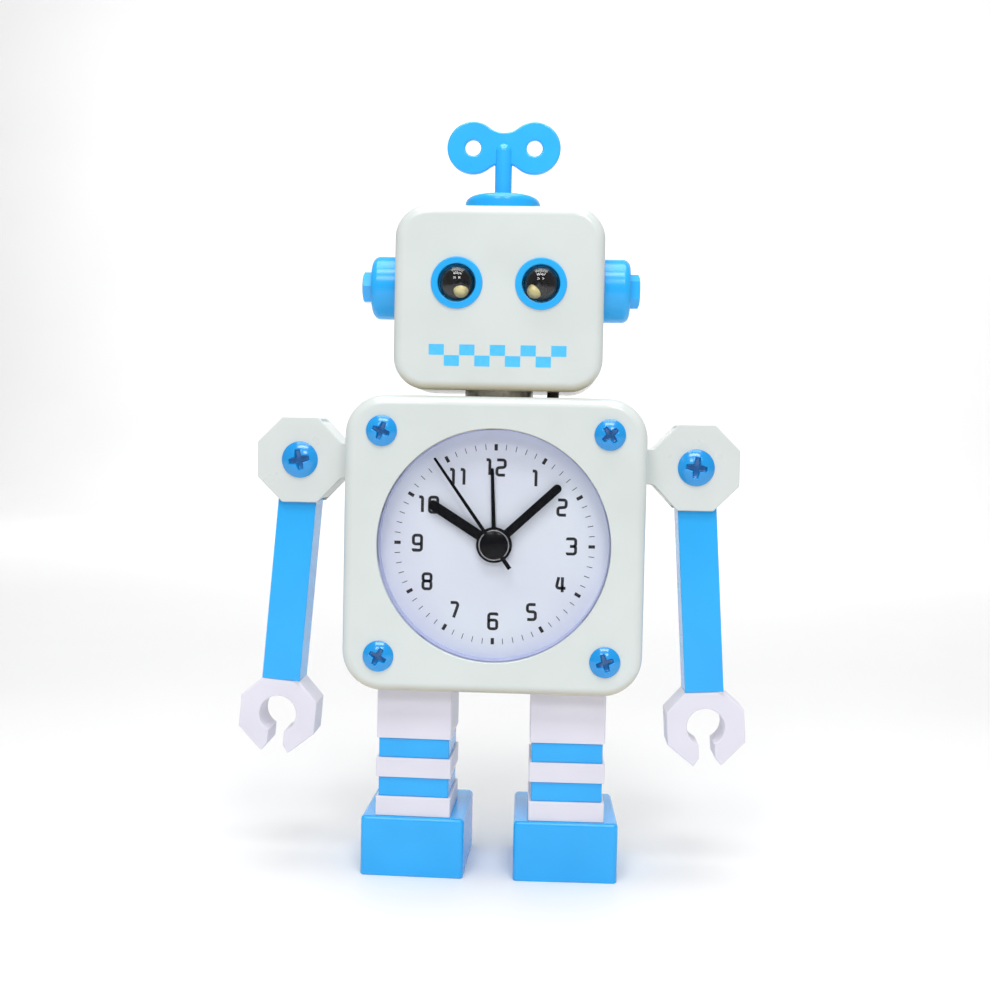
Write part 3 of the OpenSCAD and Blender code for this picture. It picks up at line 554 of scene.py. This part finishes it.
def body_shell():
    """The tin shell of the body. Its only hole is the dial's; other pieces hide where the rest would be."""
    shell = Extent("body_shell")
    lens_overlap = 2.3 * MM
    corner = 11.5 * MM
    opening = Extent("dial_lens").size.x / 2 - lens_overlap
    outline = rectangle(shell.size.x, shell.size.z, corner, steps=24)
    bm = tin_shell(outline, shell.size.y, ROLL, TIN, [circle((0, 0), opening, 160)])
    place(bm, (shell.mid.x, shell.low.y, shell.mid.z))
    build("body_shell_tin", bm, "root", "ivory_paint", ["body_shell"])


def head_shell():
    """The tin shell of the head. Its only holes are the eyes'; other pieces hide where the rest would be."""
    shell = Extent("head_shell")
    bezels = Extent("eye_bezels")
    bezel_overlap = 0.8 * MM
    corner = 9.3 * MM
    radius = bezels.size.z / 2
    eye_x = bezels.high.x - radius
    eye_v = bezels.mid.z - shell.mid.z
    holes = [circle((side * eye_x, eye_v), radius - bezel_overlap) for side in SIDES]
    outline = rectangle(shell.size.x, shell.size.z, corner, steps=20)
    bm = tin_shell(outline, shell.size.y, ROLL, TIN, holes)
    place(bm, (shell.mid.x, shell.low.y, shell.mid.z))
    build("head_shell_tin", bm, "root", "ivory_paint", ["head_shell"])


def film(loops):
    """A thin printed film: an outline, with any holes after it."""
    bm = bmesh.new()
    sides = [[ring(bm, loop, 0), ring(bm, loop, PRINT_T)] for loop in loops]
    for rings in sides:
        bridge(bm, rings)
    fill(bm, [rings[0] for rings in sides])
    fill(bm, [rings[1] for rings in sides])
    return bm


def mouth_print():
    """A zigzag of nine printed squares: five in the upper row and four between them in the lower one."""
    cell = Vector((4.33, 3.06)) * MM
    corner = 0.12 * MM
    below_middle = 16.4 * MM
    head = Extent("head_shell")
    cells = []
    for i in range(9):
        u = (i - 4) * cell.x
        v = cell.y / 2 if i % 2 == 0 else -cell.y / 2
        cells.append(film([moved(rectangle(cell.x, cell.y, corner, 2), u, v)]))
    bm = place(joined(cells), (0, head.low.y - PRINT_RISE, head.mid.z - below_middle))
    build("mouth_print", bm, "root", "blue_metal", finish=MOUTH_INK)


def round_screw(radius, height, turn):
    """A pan head with a painted-over cross recess, facing -Y, its underside at depth 0."""
    bm = bmesh.new()
    recess = bm.verts.layers.float.new("recess")
    segments = 120
    crown = radius * 1.45
    arm_half, reach, depth, blur = 0.13 * radius, 0.56 * radius, 0.86 * height, 0.05 * radius

    def surface(u, v):
        """A vertex of the head's front, sunk where it lies in the recess."""
        c, s = math.cos(math.radians(turn)), math.sin(math.radians(turn))
        a, b = abs(u * c + v * s), abs(v * c - u * s)
        along, across = max(a, b), min(a, b)
        flare = arm_half * (1.5 - 0.6 * along / reach)
        gap = max(across - flare, along - reach)
        sunk = min(1, max(0, 0.5 - gap / (2 * blur)))
        sunk = sunk * sunk * (3 - 2 * sunk) * (1 - 0.5 * (along / reach) ** 2)
        dome = height - (crown - math.sqrt(crown**2 - u**2 - v**2))
        vertex = bm.verts.new((u, depth * sunk - dome, v))
        # How sunk the vertex is, for the painted shade that the screw finish puts in the recess
        vertex[recess] = sunk
        return vertex

    rings = [[surface(0, 0)] * segments]
    steps = 44
    crown_share = 0.97
    for k in range(1, steps + 1):
        loop = circle((0, 0), radius * (k / steps) * crown_share, segments)
        rings.append([surface(u, v) for u, v in loop])
    edge = -rings[-1][0].co.y
    for share, high in ((0.985, 0.9 * edge), (0.997, 0.72 * edge), (1.0, 0.45 * edge), (1.0, 0.0)):
        rings.append(ring(bm, circle((0, 0), radius * share, segments), -high))
    rings.append([bm.verts.new((0, 0, 0))] * segments)
    weave(bm, rings)
    return bm


def body_screws():
    """The four screws at the body's corners, each with its recess turned by its own angle."""
    screws = Extent("body_screws")
    front = Extent("body_shell").low.y
    radius = 4.4 * MM
    turns = {(-1, 1): -20, (1, 1): 38, (-1, -1): 62, (1, -1): 20}
    heads = []
    for (side, level), turn in turns.items():
        x = side * (screws.high.x - radius)
        z = screws.mid.z + level * (screws.size.z / 2 - radius)
        heads.append(place(round_screw(radius, front - screws.low.y, turn), (x, front, z)))
    build("body_screw_heads", joined(heads), "root", "blue_metal", ["body_screws"], SCREW_PAINT_RECESS_SHADE, 60)


def shoulder_screws():
    """The screw that each arm swings on."""
    screws = Extent("shoulder_screws")
    front = Extent("shoulders").low.y
    heads = []
    for side, turn in ((-1, 12), (1, -7)):
        pivot = shoulder_pivot(side)
        head = round_screw(screws.size.z / 2, front - screws.low.y, turn)
        heads.append(place(head, (pivot[0], front, pivot[2])))
    build("shoulder_screw_heads", joined(heads), "root", "blue_metal", ["shoulder_screws"], SCREW_PAINT_RECESS_SHADE, 60)


body_shell()
head_shell()
mouth_print()
body_screws()
shoulder_screws()


# ---------- Eyes ----------


def eye_places():
    """The middles of the two eyes, on the front of the bezels."""
    bezels = Extent("eye_bezels")
    radius = bezels.size.z / 2
    return [Vector((side * (bezels.high.x - radius), bezels.low.y, bezels.mid.z)) for side in SIDES]


def bezel_ring(outer):
    """A flat ring with soft rims, standing a little out of the head, its front at depth 0."""
    inner = outer - 1.95 * MM
    rim = 0.35 * MM
    bore_depth = 3 * MM
    proud = 0.7 * MM
    return lathe(rounded([(inner, bore_depth), (inner, 0, rim), (outer, 0, rim), (outer, proud)], False))


def dome_lens(radius, rise, flange):
    """A thin clear dome with a flat flange, its top at depth 0."""
    wall = 0.5 * MM
    flange_t = 0.7 * MM
    ball = (radius**2 + rise**2) / (2 * rise)
    sweep = math.degrees(math.asin(radius / ball))
    outside = [(v, ball - u) for u, v in arc((0, 0), ball, 0, sweep, 20)]
    inside = [(v, ball - u) for u, v in arc((0, 0), ball - wall, 0, sweep, 20)]
    back = rise + flange_t
    rim = [(flange, rise), (flange, back), (inside[-1][0], back)]
    return lathe(outside + rim + inside[::-1])


def well(radius, bore, floor, depth):
    """A cup, open to the front."""
    return lathe([(0, floor), (bore, floor), (bore, 0), (radius, 0), (radius, depth), (0, depth)])


def lamp(radius, length):
    """A light-emitting diode with a round tip at depth 0."""
    tip = [(v, radius - u) for u, v in arc((0, 0), radius, 0, 90, 12)]
    return lathe(tip + [(radius, length), (0, length)])


def eyes():
    """A bezel, a clear dome, a dark cup and a lamp with a pale chip in each eye."""
    lenses, cups, leds = Extent("eye_lenses"), Extent("eye_reflectors"), Extent("eye_leds")
    outer = Extent("eye_bezels").size.z / 2
    dome_r = 5.3 * MM
    dome_base = 1.1 * MM
    cup_bore, cup_floor, cup_depth = 5.1 * MM, 5.2 * MM, 8 * MM
    led_r = leds.size.z / 2
    led_l = 4.5 * MM
    chip_r, chip_l = 2.2 * MM, 2 * MM
    # The chips are moved off the lamps' tips only for their look through the domes from the front
    chip_forward, chip_down, right_chip_left = 0.3 * MM, 0.9 * MM, 0.9 * MM
    rings, domes, wells, lamps, chips = [], [], [], [], []
    for middle in eye_places():
        rise = middle.y + dome_base - lenses.low.y
        led_x = math.copysign(leds.high.x - led_r, middle.x)
        rings.append(place(bezel_ring(outer), middle))
        domes.append(place(dome_lens(dome_r, rise, lenses.size.z / 2), (middle.x, lenses.low.y, middle.z)))
        cup = well(cups.size.z / 2, cup_bore, cup_floor, cup_depth)
        wells.append(place(cup, (middle.x, cups.low.y, middle.z)))
        lamps.append(place(lamp(led_r, led_l), (led_x, leds.low.y, leds.mid.z)))
        chip_x = led_x - (right_chip_left if middle.x > 0 else 0)
        chip_at = (chip_x, leds.low.y - chip_forward, leds.mid.z - chip_down)
        chips.append(place(lamp(chip_r, chip_l), chip_at))
    build("eye_bezel_rings", joined(rings), "root", "blue_plastic", ["eye_bezels"])
    build("eye_dome_lenses", joined(domes), "root", "clear_plastic", ["eye_lenses"], EYE_GLASS, crease=50)
    build("eye_wells", joined(wells), "root", "black_plastic", ["eye_reflectors"], EYE_WELL)
    # The lamps' clear bodies get the dark eye finish: painted shade
    build("eye_lamps", joined(lamps), "root", "led", ["eye_leds"], EYE_WELL, crease=60)
    build("eye_phosphors", joined(chips), "root", "led", crease=60)


eyes()


# ---------- Ears ----------


def hex_head(flats, height):
    """A bolt head with its corners turned off, facing -Y."""
    bm = bmesh.new()
    count = 96
    flat = flats / 2
    face = flat * 0.95
    chamfer = 28
    loops = []
    for i in range(count):
        angle = 2 * math.pi * i / count
        within = (angle % (math.pi / 3)) - math.pi / 6
        loops.append((angle, flat / math.cos(within)))
    top = [bm.verts.new((face * math.cos(a), 0, face * math.sin(a))) for a, r in loops]
    slope = math.tan(math.radians(chamfer))
    shoulder = [bm.verts.new((r * math.cos(a), (r - face) * slope, r * math.sin(a))) for a, r in loops]
    foot = [bm.verts.new((r * math.cos(a), height, r * math.sin(a))) for a, r in loops]
    middle = bm.verts.new((0, 0, 0))
    seat = bm.verts.new((0, height, 0))
    weave(bm, [[middle] * count, top, shoulder, foot, [seat] * count])
    return bm


def ears():
    """A round cup on each side of the head, held by a hexagon bolt."""
    head = Extent("head_shell")
    cups = Extent("ear_cups")
    bolts = Extent("ear_bolts")
    radius = cups.size.z / 2
    thick = cups.high.x - head.high.x
    flats = 8.6 * MM
    crown = 2.2 * MM
    chamfer = 0.3 * MM
    round_cups, heads = [], []
    for side in SIDES:
        profile = rounded([
            (0, 0), (radius, 0, crown),
            (radius, thick - chamfer), (radius - chamfer, thick), (0, thick),
        ], False, 10)
        where = (side * cups.high.x, cups.mid.y, cups.mid.z)
        round_cups.append(place(lathe(profile, 96), where, (0, 0, side * 90)))
        bolt = place(hex_head(flats, bolts.high.x - cups.high.x), turn=(0, 0 if side < 0 else 30, 0))
        heads.append(place(bolt, (side * bolts.high.x, bolts.mid.y, cups.mid.z), (0, 0, side * 90)))
    build("ear_cup_pair", joined(round_cups), "root", "blue_plastic", ["ear_cups"])
    build("ear_bolt_heads", joined(heads), "root", "blue_metal", ["ear_bolts"], crease=20)


ears()


# ---------- Key and collar ----------


def key():
    """The butterfly blade and its round-ended stem, which ends unseen inside the collar."""
    box = Extent("key")
    lobe = 7.6 * MM
    waist = 4.45 * MM
    thick = 2.2 * MM
    edge = 0.55 * MM
    hole_r = 2.3 * MM
    spread = box.high.x - lobe
    key_z = box.high.z - lobe
    drop = lobe - waist
    blend = (spread**2 - drop**2) / (2 * drop)
    bend = blend - waist
    meet = math.degrees(math.atan2(blend, spread))
    outline = arc((spread, 0), lobe, meet - 180, 180 - meet, 48)
    outline += arc((0, blend), bend, -meet, meet - 180, 24)[1:-1]
    outline += arc((-spread, 0), lobe, meet, 360 - meet, 48)
    outline += arc((0, -blend), bend, 180 - meet, meet, 24)[1:-1]
    holes = [circle((side * spread, 0), hole_r, 40) for side in SIDES]
    blade = place(plate(outline, thick, edge, holes), (0, box.mid.y - thick / 2, key_z))
    build("key_blade", blade, "key", "blue_metal", ["key"])
    stem_r = 2.5 * MM
    below_middle = 1 * MM
    in_collar = 2 * MM
    top = key_z - below_middle + stem_r
    length = top - Extent("key_collar").high.z + in_collar
    tip = [(v, stem_r - u) for u, v in arc((0, 0), stem_r, 0, 90, 12)]
    stem = place(lathe(tip + [(stem_r, length), (0, length)], 64), (0, box.mid.y, top), (-90, 0, 0))
    build("key_stem", stem, "key", "blue_metal")


def key_collar():
    """The domed disc that the key's stem slides in."""
    box = Extent("key_collar")
    radius = box.size.x / 2
    height = box.size.z
    bore = 2.55 * MM
    lip = 0.3 * MM
    crown = 0.48 * height
    chamfer = 0.2 * MM
    profile = rounded([
        (bore, height), (bore, 0, lip), (radius, 0, crown),
        (radius, height - chamfer), (radius - chamfer, height), (bore, height),
    ], False, 10)
    collar = place(lathe(profile, 96), (0, box.mid.y, box.high.z), (-90, 0, 0))
    build("key_collar_disc", collar, "root", "blue_plastic", ["key_collar"])


key()
key_collar()


# ---------- Neck ----------


def neck_screw_thread():
    """The thread that shows between head and body on the screw beside the neck."""
    screws = Extent("frame_screws")
    gap_low = Extent("body_shell").high.z
    gap_high = Extent("head_shell").low.z
    core, crest, pitch = 1.3 * MM, 1.7 * MM, 0.45 * MM
    screw_x = 15.9 * MM
    length = gap_high - gap_low
    profile = [(0, 0)]
    for i in range(int(length / pitch)):
        profile += [(core, i * pitch), (crest, (i + 0.5) * pitch)]
    profile += [(core, length), (0, length)]
    thread = place(lathe(profile, 40), (screw_x, screws.mid.y, gap_high), (-90, 0, 0))
    build("neck_screw_thread", thread, "root", "dark_steel", crease=20)


neck_screw_thread()


# ---------- Shoulders, arms and claws ----------


def mirrored(loop, side):
    """The loop as drawn for the left side, or its mirror image for the right."""
    return loop if side < 0 else [(-u, v) for u, v in reversed(loop)]


def shoulders():
    """An octagonal cheek before and behind each arm, joined by a web that reaches the body."""
    box = Extent("shoulders")
    body = Extent("body_shell")
    play = 0.6 * MM
    slot = Extent("arm_left").size.y + play
    cheek = (box.size.y - slot) / 2
    half = box.size.z / 2
    facet = half * math.tan(math.radians(22.5))
    neck = 5 * MM
    soft = 0.9 * MM
    # Where a cheek's octagon runs into its neck
    bend_u, bend_v, bend_r = half - 0.4 * MM, facet + 0.1 * MM, 1.5 * MM
    wall = slot / 2 + 0.1 * MM
    cut = half + facet - wall
    web_margin = 0.15 * MM
    bite = 0.2 * MM
    meshes = []
    for side in SIDES:
        pivot = shoulder_pivot(side)
        reach = abs(pivot[0]) - body.high.x
        outline = rounded([
            (facet, -half, soft), (bend_u, -bend_v, bend_r), (reach, -neck),
            (reach, neck), (bend_u, bend_v, bend_r), (facet, half, soft),
            (-facet, half, soft), (-half, facet, soft), (-half, -facet, soft), (-facet, -half, soft),
        ])
        web = [(wall, -cut), (half, -facet), (reach, -neck), (reach, neck), (half, facet), (wall, cut)]
        for depth in (box.low.y, box.high.y - cheek):
            cover = plate(mirrored(outline, side), cheek, 0.4 * MM)
            meshes.append(place(cover, (pivot[0], depth, pivot[2])))
        filling = plate(mirrored(inset(web, web_margin), side), slot + 2 * bite, 0.05 * MM)
        meshes.append(place(filling, (pivot[0], pivot[1] - slot / 2 - bite, pivot[2])))
    build("shoulder_brackets", joined(meshes), "root", "ivory_plastic", ["shoulders"])


def claw_outline(width):
    """A claw that hangs from the origin: an eight-sided plate, its round hole open at the bottom."""
    half, length, centre, hole = 11.35 * MM, 21.9 * MM, 10.4 * MM, 5.45 * MM
    high, low, mouth, tip, soft = 5.7 * MM, 15.2 * MM, 2.3 * MM, 4.05 * MM, 0.5 * MM
    tip_slope = 2.4 * MM
    meet = math.degrees(math.acos(-mouth / hole))
    start = 360 - meet
    corners = [
        (width / 2, 0, soft), (-width / 2, 0, soft), (-half, -high, soft), (-half, -low, soft),
        (-tip, -length, soft), (-mouth, tip_slope - length, soft),
    ]
    left = rounded(corners + [(-mouth, -length / 2)], False, 4)[:-1]
    right = [(-u, v) for u, v in reversed(left[1:])]
    return left + arc((0, -centre), hole, start, 180 - start, 48) + right


def arms():
    """Each arm's bar and claw, at the angle that the arm hangs at."""
    for side, name in SIDES.items():
        pivot = shoulder_pivot(side)
        hang = -JOINTS[f"arm_{name}_swing"]["range_deg"][0]
        box = Extent(f"arm_{name}")
        width = box.size.y
        lean = math.radians(hang)
        length = (pivot[2] - box.low.z - width / 2 * math.sin(lean)) / math.cos(lean)
        outline = [(-width / 2, -length), (width / 2, -length)] + arc((0, 0), width / 2, 0, 180, 24)
        turn = (0, -side * hang, 0)
        where = (pivot[0], pivot[1] - width / 2, pivot[2])
        bar = place(plate(outline, width, 0.25 * MM), where, turn)
        build(f"arm_{name}_bar", bar, f"arm_{name}", "blue_plastic", [f"arm_{name}"])
        hook = plate(moved(claw_outline(width), 0, -length), width, 0.45 * MM)
        hook = place(hook, where, turn)
        build(f"claw_{name}_hook", hook, f"arm_{name}", "white_plastic", [f"claw_{name}"])


shoulders()
arms()


# ---------- Legs ----------

# Angle in degrees that each leg is turned outward
TOE_OUT = 1.3


def at_legs(make, top):
    """Makes a block for each leg, its top at this height, turned outward with the foot."""
    bolts = Extent("leg_bolts")
    bolt_head_r = 3.8 * MM
    leg_x = bolts.high.x - bolt_head_r
    blocks = []
    for side in SIDES:
        block = place(make(), turn=(-90, 0, 0))
        blocks.append(place(block, (side * leg_x, bolts.mid.y, top), (0, 0, side * TOE_OUT)))
    return blocks


def straight_width(node):
    """The width of a square block whose box was measured after its turn outward."""
    angle = math.radians(TOE_OUT)
    return Extent(node).size.y / (math.cos(angle) + math.sin(angle))


def legs():
    """Two legs, each a foot, four slabs in turn white and blue, and a thigh under the body."""
    foot_h = Extent("feet").size.z
    white = Extent("white_slabs")
    blue = Extent("blue_slabs")
    thigh = Extent("thighs")
    slab_h = blue.low.z - white.low.z
    stacks = {"white": (white.low.z, []), "blue": (blue.low.z, [])}
    for colour, (bottom, blocks) in stacks.items():
        width = straight_width(f"{colour}_slabs")
        for level in (0, 1):
            square = rectangle(width, width, 0.5 * MM, 4)
            top = bottom + slab_h * (2 * level + 1)
            blocks += at_legs(lambda: plate(square, slab_h, 0.3 * MM), top)
    build("white_leg_slabs", joined(stacks["white"][1]), "root", "white_plastic", ["white_slabs"])
    build("blue_leg_slabs", joined(stacks["blue"][1]), "root", "blue_plastic", ["blue_slabs"])
    width = straight_width("thighs")
    square = rectangle(width, width, 0.6 * MM, 4)
    blocks = at_legs(lambda: plate(square, thigh.size.z, 0.4 * MM), thigh.high.z)
    build("thigh_blocks", joined(blocks), "root", "white_plastic", ["thighs"])
    foot_w, foot_l, heel_y, corner = 30.2 * MM, 31.5 * MM, 19.3 * MM, 1.3 * MM
    sole = moved(rectangle(foot_w, foot_l, corner), 0, heel_y - foot_l / 2)
    blocks = at_legs(lambda: plate(sole, foot_h, 1.2 * MM, back_edge=0.3 * MM, steps=6), foot_h)
    build("foot_blocks", joined(blocks), "root", "blue_plastic", ["feet"])


legs()


# ---------- Dial ----------

# Width of a digit's line, the size of a digit, and the width of the narrower 1
STROKE = 0.85 * MM
DIGIT_W = 3.2 * MM
DIGIT_H = 5.2 * MM
ONE_W = 1.85 * MM

# Strokes of each digit in a box 1 wide and 1 high, and whether the stroke closes on itself
DIGITS = {
    "0": [([(0, 0), (1, 0), (1, 1), (0, 1)], True)],
    "1": [([(0, 1), (1, 1), (1, 0)], False)],
    "2": [([(0, 1), (1, 1), (1, 0.52), (0, 0.48), (0, 0), (1, 0)], False)],
    "3": [([(0, 0.9), (0, 1), (1, 1), (1, 0.5), (0.3, 0.5)], False),
          ([(0.6, 0.5), (1, 0.5), (1, 0), (0, 0), (0, 0.1)], False)],
    "4": [([(0.3, 1), (0, 0.27), (1.15, 0.27)], False), ([(0.75, 1), (0.75, 0)], False)],
    "5": [([(1, 1), (0, 1), (0, 0.52), (1, 0.52), (1, 0), (0, 0)], False)],
    "6": [([(0, 0), (1, 0), (1, 0.58), (0, 0.58)], True), ([(1, 0.88), (1, 1), (0, 1), (0, 0.5)], False)],
    "7": [([(0, 1), (1, 1), (0.4, 0)], False)],
    "8": [([(0, 0.52), (1, 0.52), (1, 1), (0, 1)], True), ([(0, 0), (1, 0), (1, 0.52), (0, 0.52)], True)],
    "9": [([(0, 0.42), (1, 0.42), (1, 1), (0, 1)], True), ([(0, 0.12), (0, 0), (1, 0), (1, 0.5)], False)],
}


def stroke(points, closed, width, height):
    """The outlines of one stroke of a digit, with round bends."""
    bend = 0.7 * MM
    scaled = []
    for i, (u, v) in enumerate(points):
        here = Vector((u * width, v * height))
        if not closed and i in (0, len(points) - 1):
            scaled.append(tuple(here))
            continue
        ends = [points[i - 1], points[(i + 1) % len(points)]]
        room = min((Vector((u * width, v * height)) - here).length for u, v in ends)
        scaled.append((here.x, here.y, min(bend, room * 0.45)))
    path = rounded(scaled, closed)
    if closed:
        return [inset(path, -STROKE / 2), inset(path, STROKE / 2)]
    return [inset(path, STROKE / 2, False) + inset(path, -STROKE / 2, False)[::-1]]


def number(text):
    """The films of a number, centred on the origin."""
    gap = 1.2 * MM
    widths = [ONE_W if digit == "1" else DIGIT_W for digit in text]
    start = -(sum(widths) + gap * (len(text) - 1)) / 2
    films = []
    for digit, wide in zip(text, widths):
        for points, closed in DIGITS[digit]:
            loops = stroke(points, closed, wide - STROKE, DIGIT_H - STROKE)
            shift = (start + STROKE / 2, (STROKE - DIGIT_H) / 2)
            films.append(film([moved(loop, *shift) for loop in loops]))
        start += wide + gap
    return films


def dial_print():
    """Hour marks, minute marks and the numbers 1 to 12."""
    dial = Extent("dial_plate")
    outer = 28.9 * MM
    number_r = 22.2 * MM
    hour_mark = (0.95 * MM, 1.85 * MM)
    minute_mark = (0.2 * MM, 1.6 * MM)
    films = []
    for minute in range(60):
        width, height = minute_mark if minute % 5 else hour_mark
        mark = film([moved(rectangle(width, height), 0, outer - height / 2)])
        films.append(place(mark, turn=(0, minute * 6, 0)))
    for hour in range(1, 13):
        angle = math.radians(hour * 30)
        where = (number_r * math.sin(angle), 0, number_r * math.cos(angle))
        films += [place(part, where) for part in number(str(hour))]
    bm = place(joined(films), (0, dial.low.y - PRINT_RISE, dial.mid.z))
    build("dial_print", bm, "root", "dial_face", finish=DIAL_INK)


def hub_ring():
    """A fine bright steel ring round the domed cap of the hands: a painted highlight, standing for the cap's edge
    catching the light.
    """
    cap_r = 4 * MM
    thick, soft = 0.3 * MM, 0.05 * MM
    inner, outer = cap_r + soft, cap_r + 0.4 * MM
    front = [(inner, soft), (inner + soft, 0), (outer - soft, 0), (outer, soft)]
    profile = [(inner, thick)] + front + [(outer, thick)]
    where = (0, Extent("minute_hand").low.y - thick, Extent("dial_plate").mid.z)
    build("hub_ring", place(lathe(profile, 96), where), "second", "spring_steel", crease=40)


hub_ring()
dial_print()


# ---------- CAD nodes that stay as they are ----------


# Widths in millimetres of the rounded edges of the CAD nodes that show
SOFT_EDGES = {
    "body_back": 0.4, "battery_door": 0.35, "alarm_switch": 0.25,
    "time_knob": 0.35, "alarm_knob": 0.35, "cover_screws": 0.15,
    "hour_hand": 0.06, "minute_hand": 0.06, "alarm_hand": 0.04,
}


def soften(node, width):
    """Rounds a CAD node's edges to this width in millimetres."""
    weld = node.modifiers.new("weld", "WELD")
    weld.merge_threshold = 0.002 * MM
    bevel = node.modifiers.new("soft_edges", "BEVEL")
    bevel.width = width * MM
    bevel.segments = 2
    bevel.angle_limit = math.radians(50)
    node.modifiers.new("flat_faces", "WEIGHTED_NORMAL").keep_sharp = True


def carry_over():
    """Gives every CAD node its record slot's finish, the dial frame the well wall's instead, and soft edges where
    they are seen.
    """
    for name, node in frame["nodes"].items():
        finish = SHADED_DIAL_WELL if name == "dial_frame" else FINISHES[SLOT_OF[name]]
        node.data.materials.clear()
        node.data.materials.append(finish.material)
        if name in SOFT_EDGES:
            soften(node, SOFT_EDGES[name])


carry_over()


# ---------- Floor, light and camera ----------


def add_stage():
    """A pale floor that sweeps up into a backdrop."""
    bm = bmesh.new()
    reach, back, bend, top = 3.0, 1.4, 0.5, 2.4
    profile = [(-reach, 0)] + arc((back, bend), bend, -90, 0, 16) + [(back + bend, top)]
    sides = [[bm.verts.new((side * reach, y, z)) for y, z in profile] for side in SIDES]
    bridge(bm, sides, closed=False)
    mesh = bpy.data.meshes.new("floor")
    bm.to_mesh(mesh)
    bm.free()
    mesh.shade_smooth()
    floor = bpy.data.objects.new("floor", mesh)
    bpy.context.scene.collection.objects.link(floor)
    finish = Finish("floor", (0.93, 0.93, 0.93, 1), 0.6)
    finish.tint(finish.noise(0.3, 2), (0.9, 0.9, 0.9, 1))
    mesh.materials.append(finish.material)


def add_light(name, where, target, size, power):
    """A soft rectangular light of this size in metres and power in watts, aimed at a target."""
    data = bpy.data.lights.new(name, "AREA")
    data.shape = "RECTANGLE"
    data.size, data.size_y = size
    data.energy = power
    light = bpy.data.objects.new(name, data)
    light.location = where
    light.rotation_euler = (Vector(target) - Vector(where)).to_track_quat("-Z", "Y").to_euler()
    light.visible_camera = False
    bpy.context.scene.collection.objects.link(light)


def add_lights():
    chest = (0, 0, 0.11)
    add_light("left_softbox", (-0.2, -0.75, 0.62), chest, (0.2, 0.2), 1.0)
    add_light("right_softbox", (0.2, -0.75, 0.62), chest, (0.2, 0.2), 1.25)
    add_light("top_softbox", (0, -0.5, 0.95), chest, (0.7, 0.2), 3.9)
    add_light("overhead", (0, 0, 1.1), chest, (0.9, 0.6), 6)
    add_light("background", (0, 0.9, 1.0), (0, 1.8, 0.4), (2.0, 0.5), 14)
    world = bpy.data.worlds.new("studio")
    bpy.context.scene.world = world
    world.use_nodes = True
    world.node_tree.nodes["Background"].inputs["Color"].default_value = (1, 1, 1, 1)
    world.node_tree.nodes["Background"].inputs["Strength"].default_value = 0.32


def add_camera():
    """At the photograph's place: a little right of the middle, looking slightly down at the chest."""
    data = bpy.data.cameras.new("camera")
    data.sensor_width = 36
    data.lens = 43.96
    where = (0.0164, -0.3607, 0.128)
    yaw, pitch, roll = -0.0475, -0.0462, 0.020
    ahead = Vector((math.sin(yaw) * math.cos(pitch), math.cos(yaw) * math.cos(pitch), math.sin(pitch)))
    right = Vector((math.cos(yaw), -math.sin(yaw), 0))
    up = right.cross(ahead)
    axes = [
        math.cos(roll) * right + math.sin(roll) * up,
        math.cos(roll) * up - math.sin(roll) * right,
        -ahead,
    ]
    camera = bpy.data.objects.new("camera", data)
    camera.matrix_world = Matrix.Translation(where) @ Matrix(axes).transposed().to_4x4()
    bpy.context.scene.collection.objects.link(camera)
    bpy.context.scene.camera = camera


add_stage()
add_lights()
add_camera()
bpy.context.scene.view_settings.view_transform = "Standard"
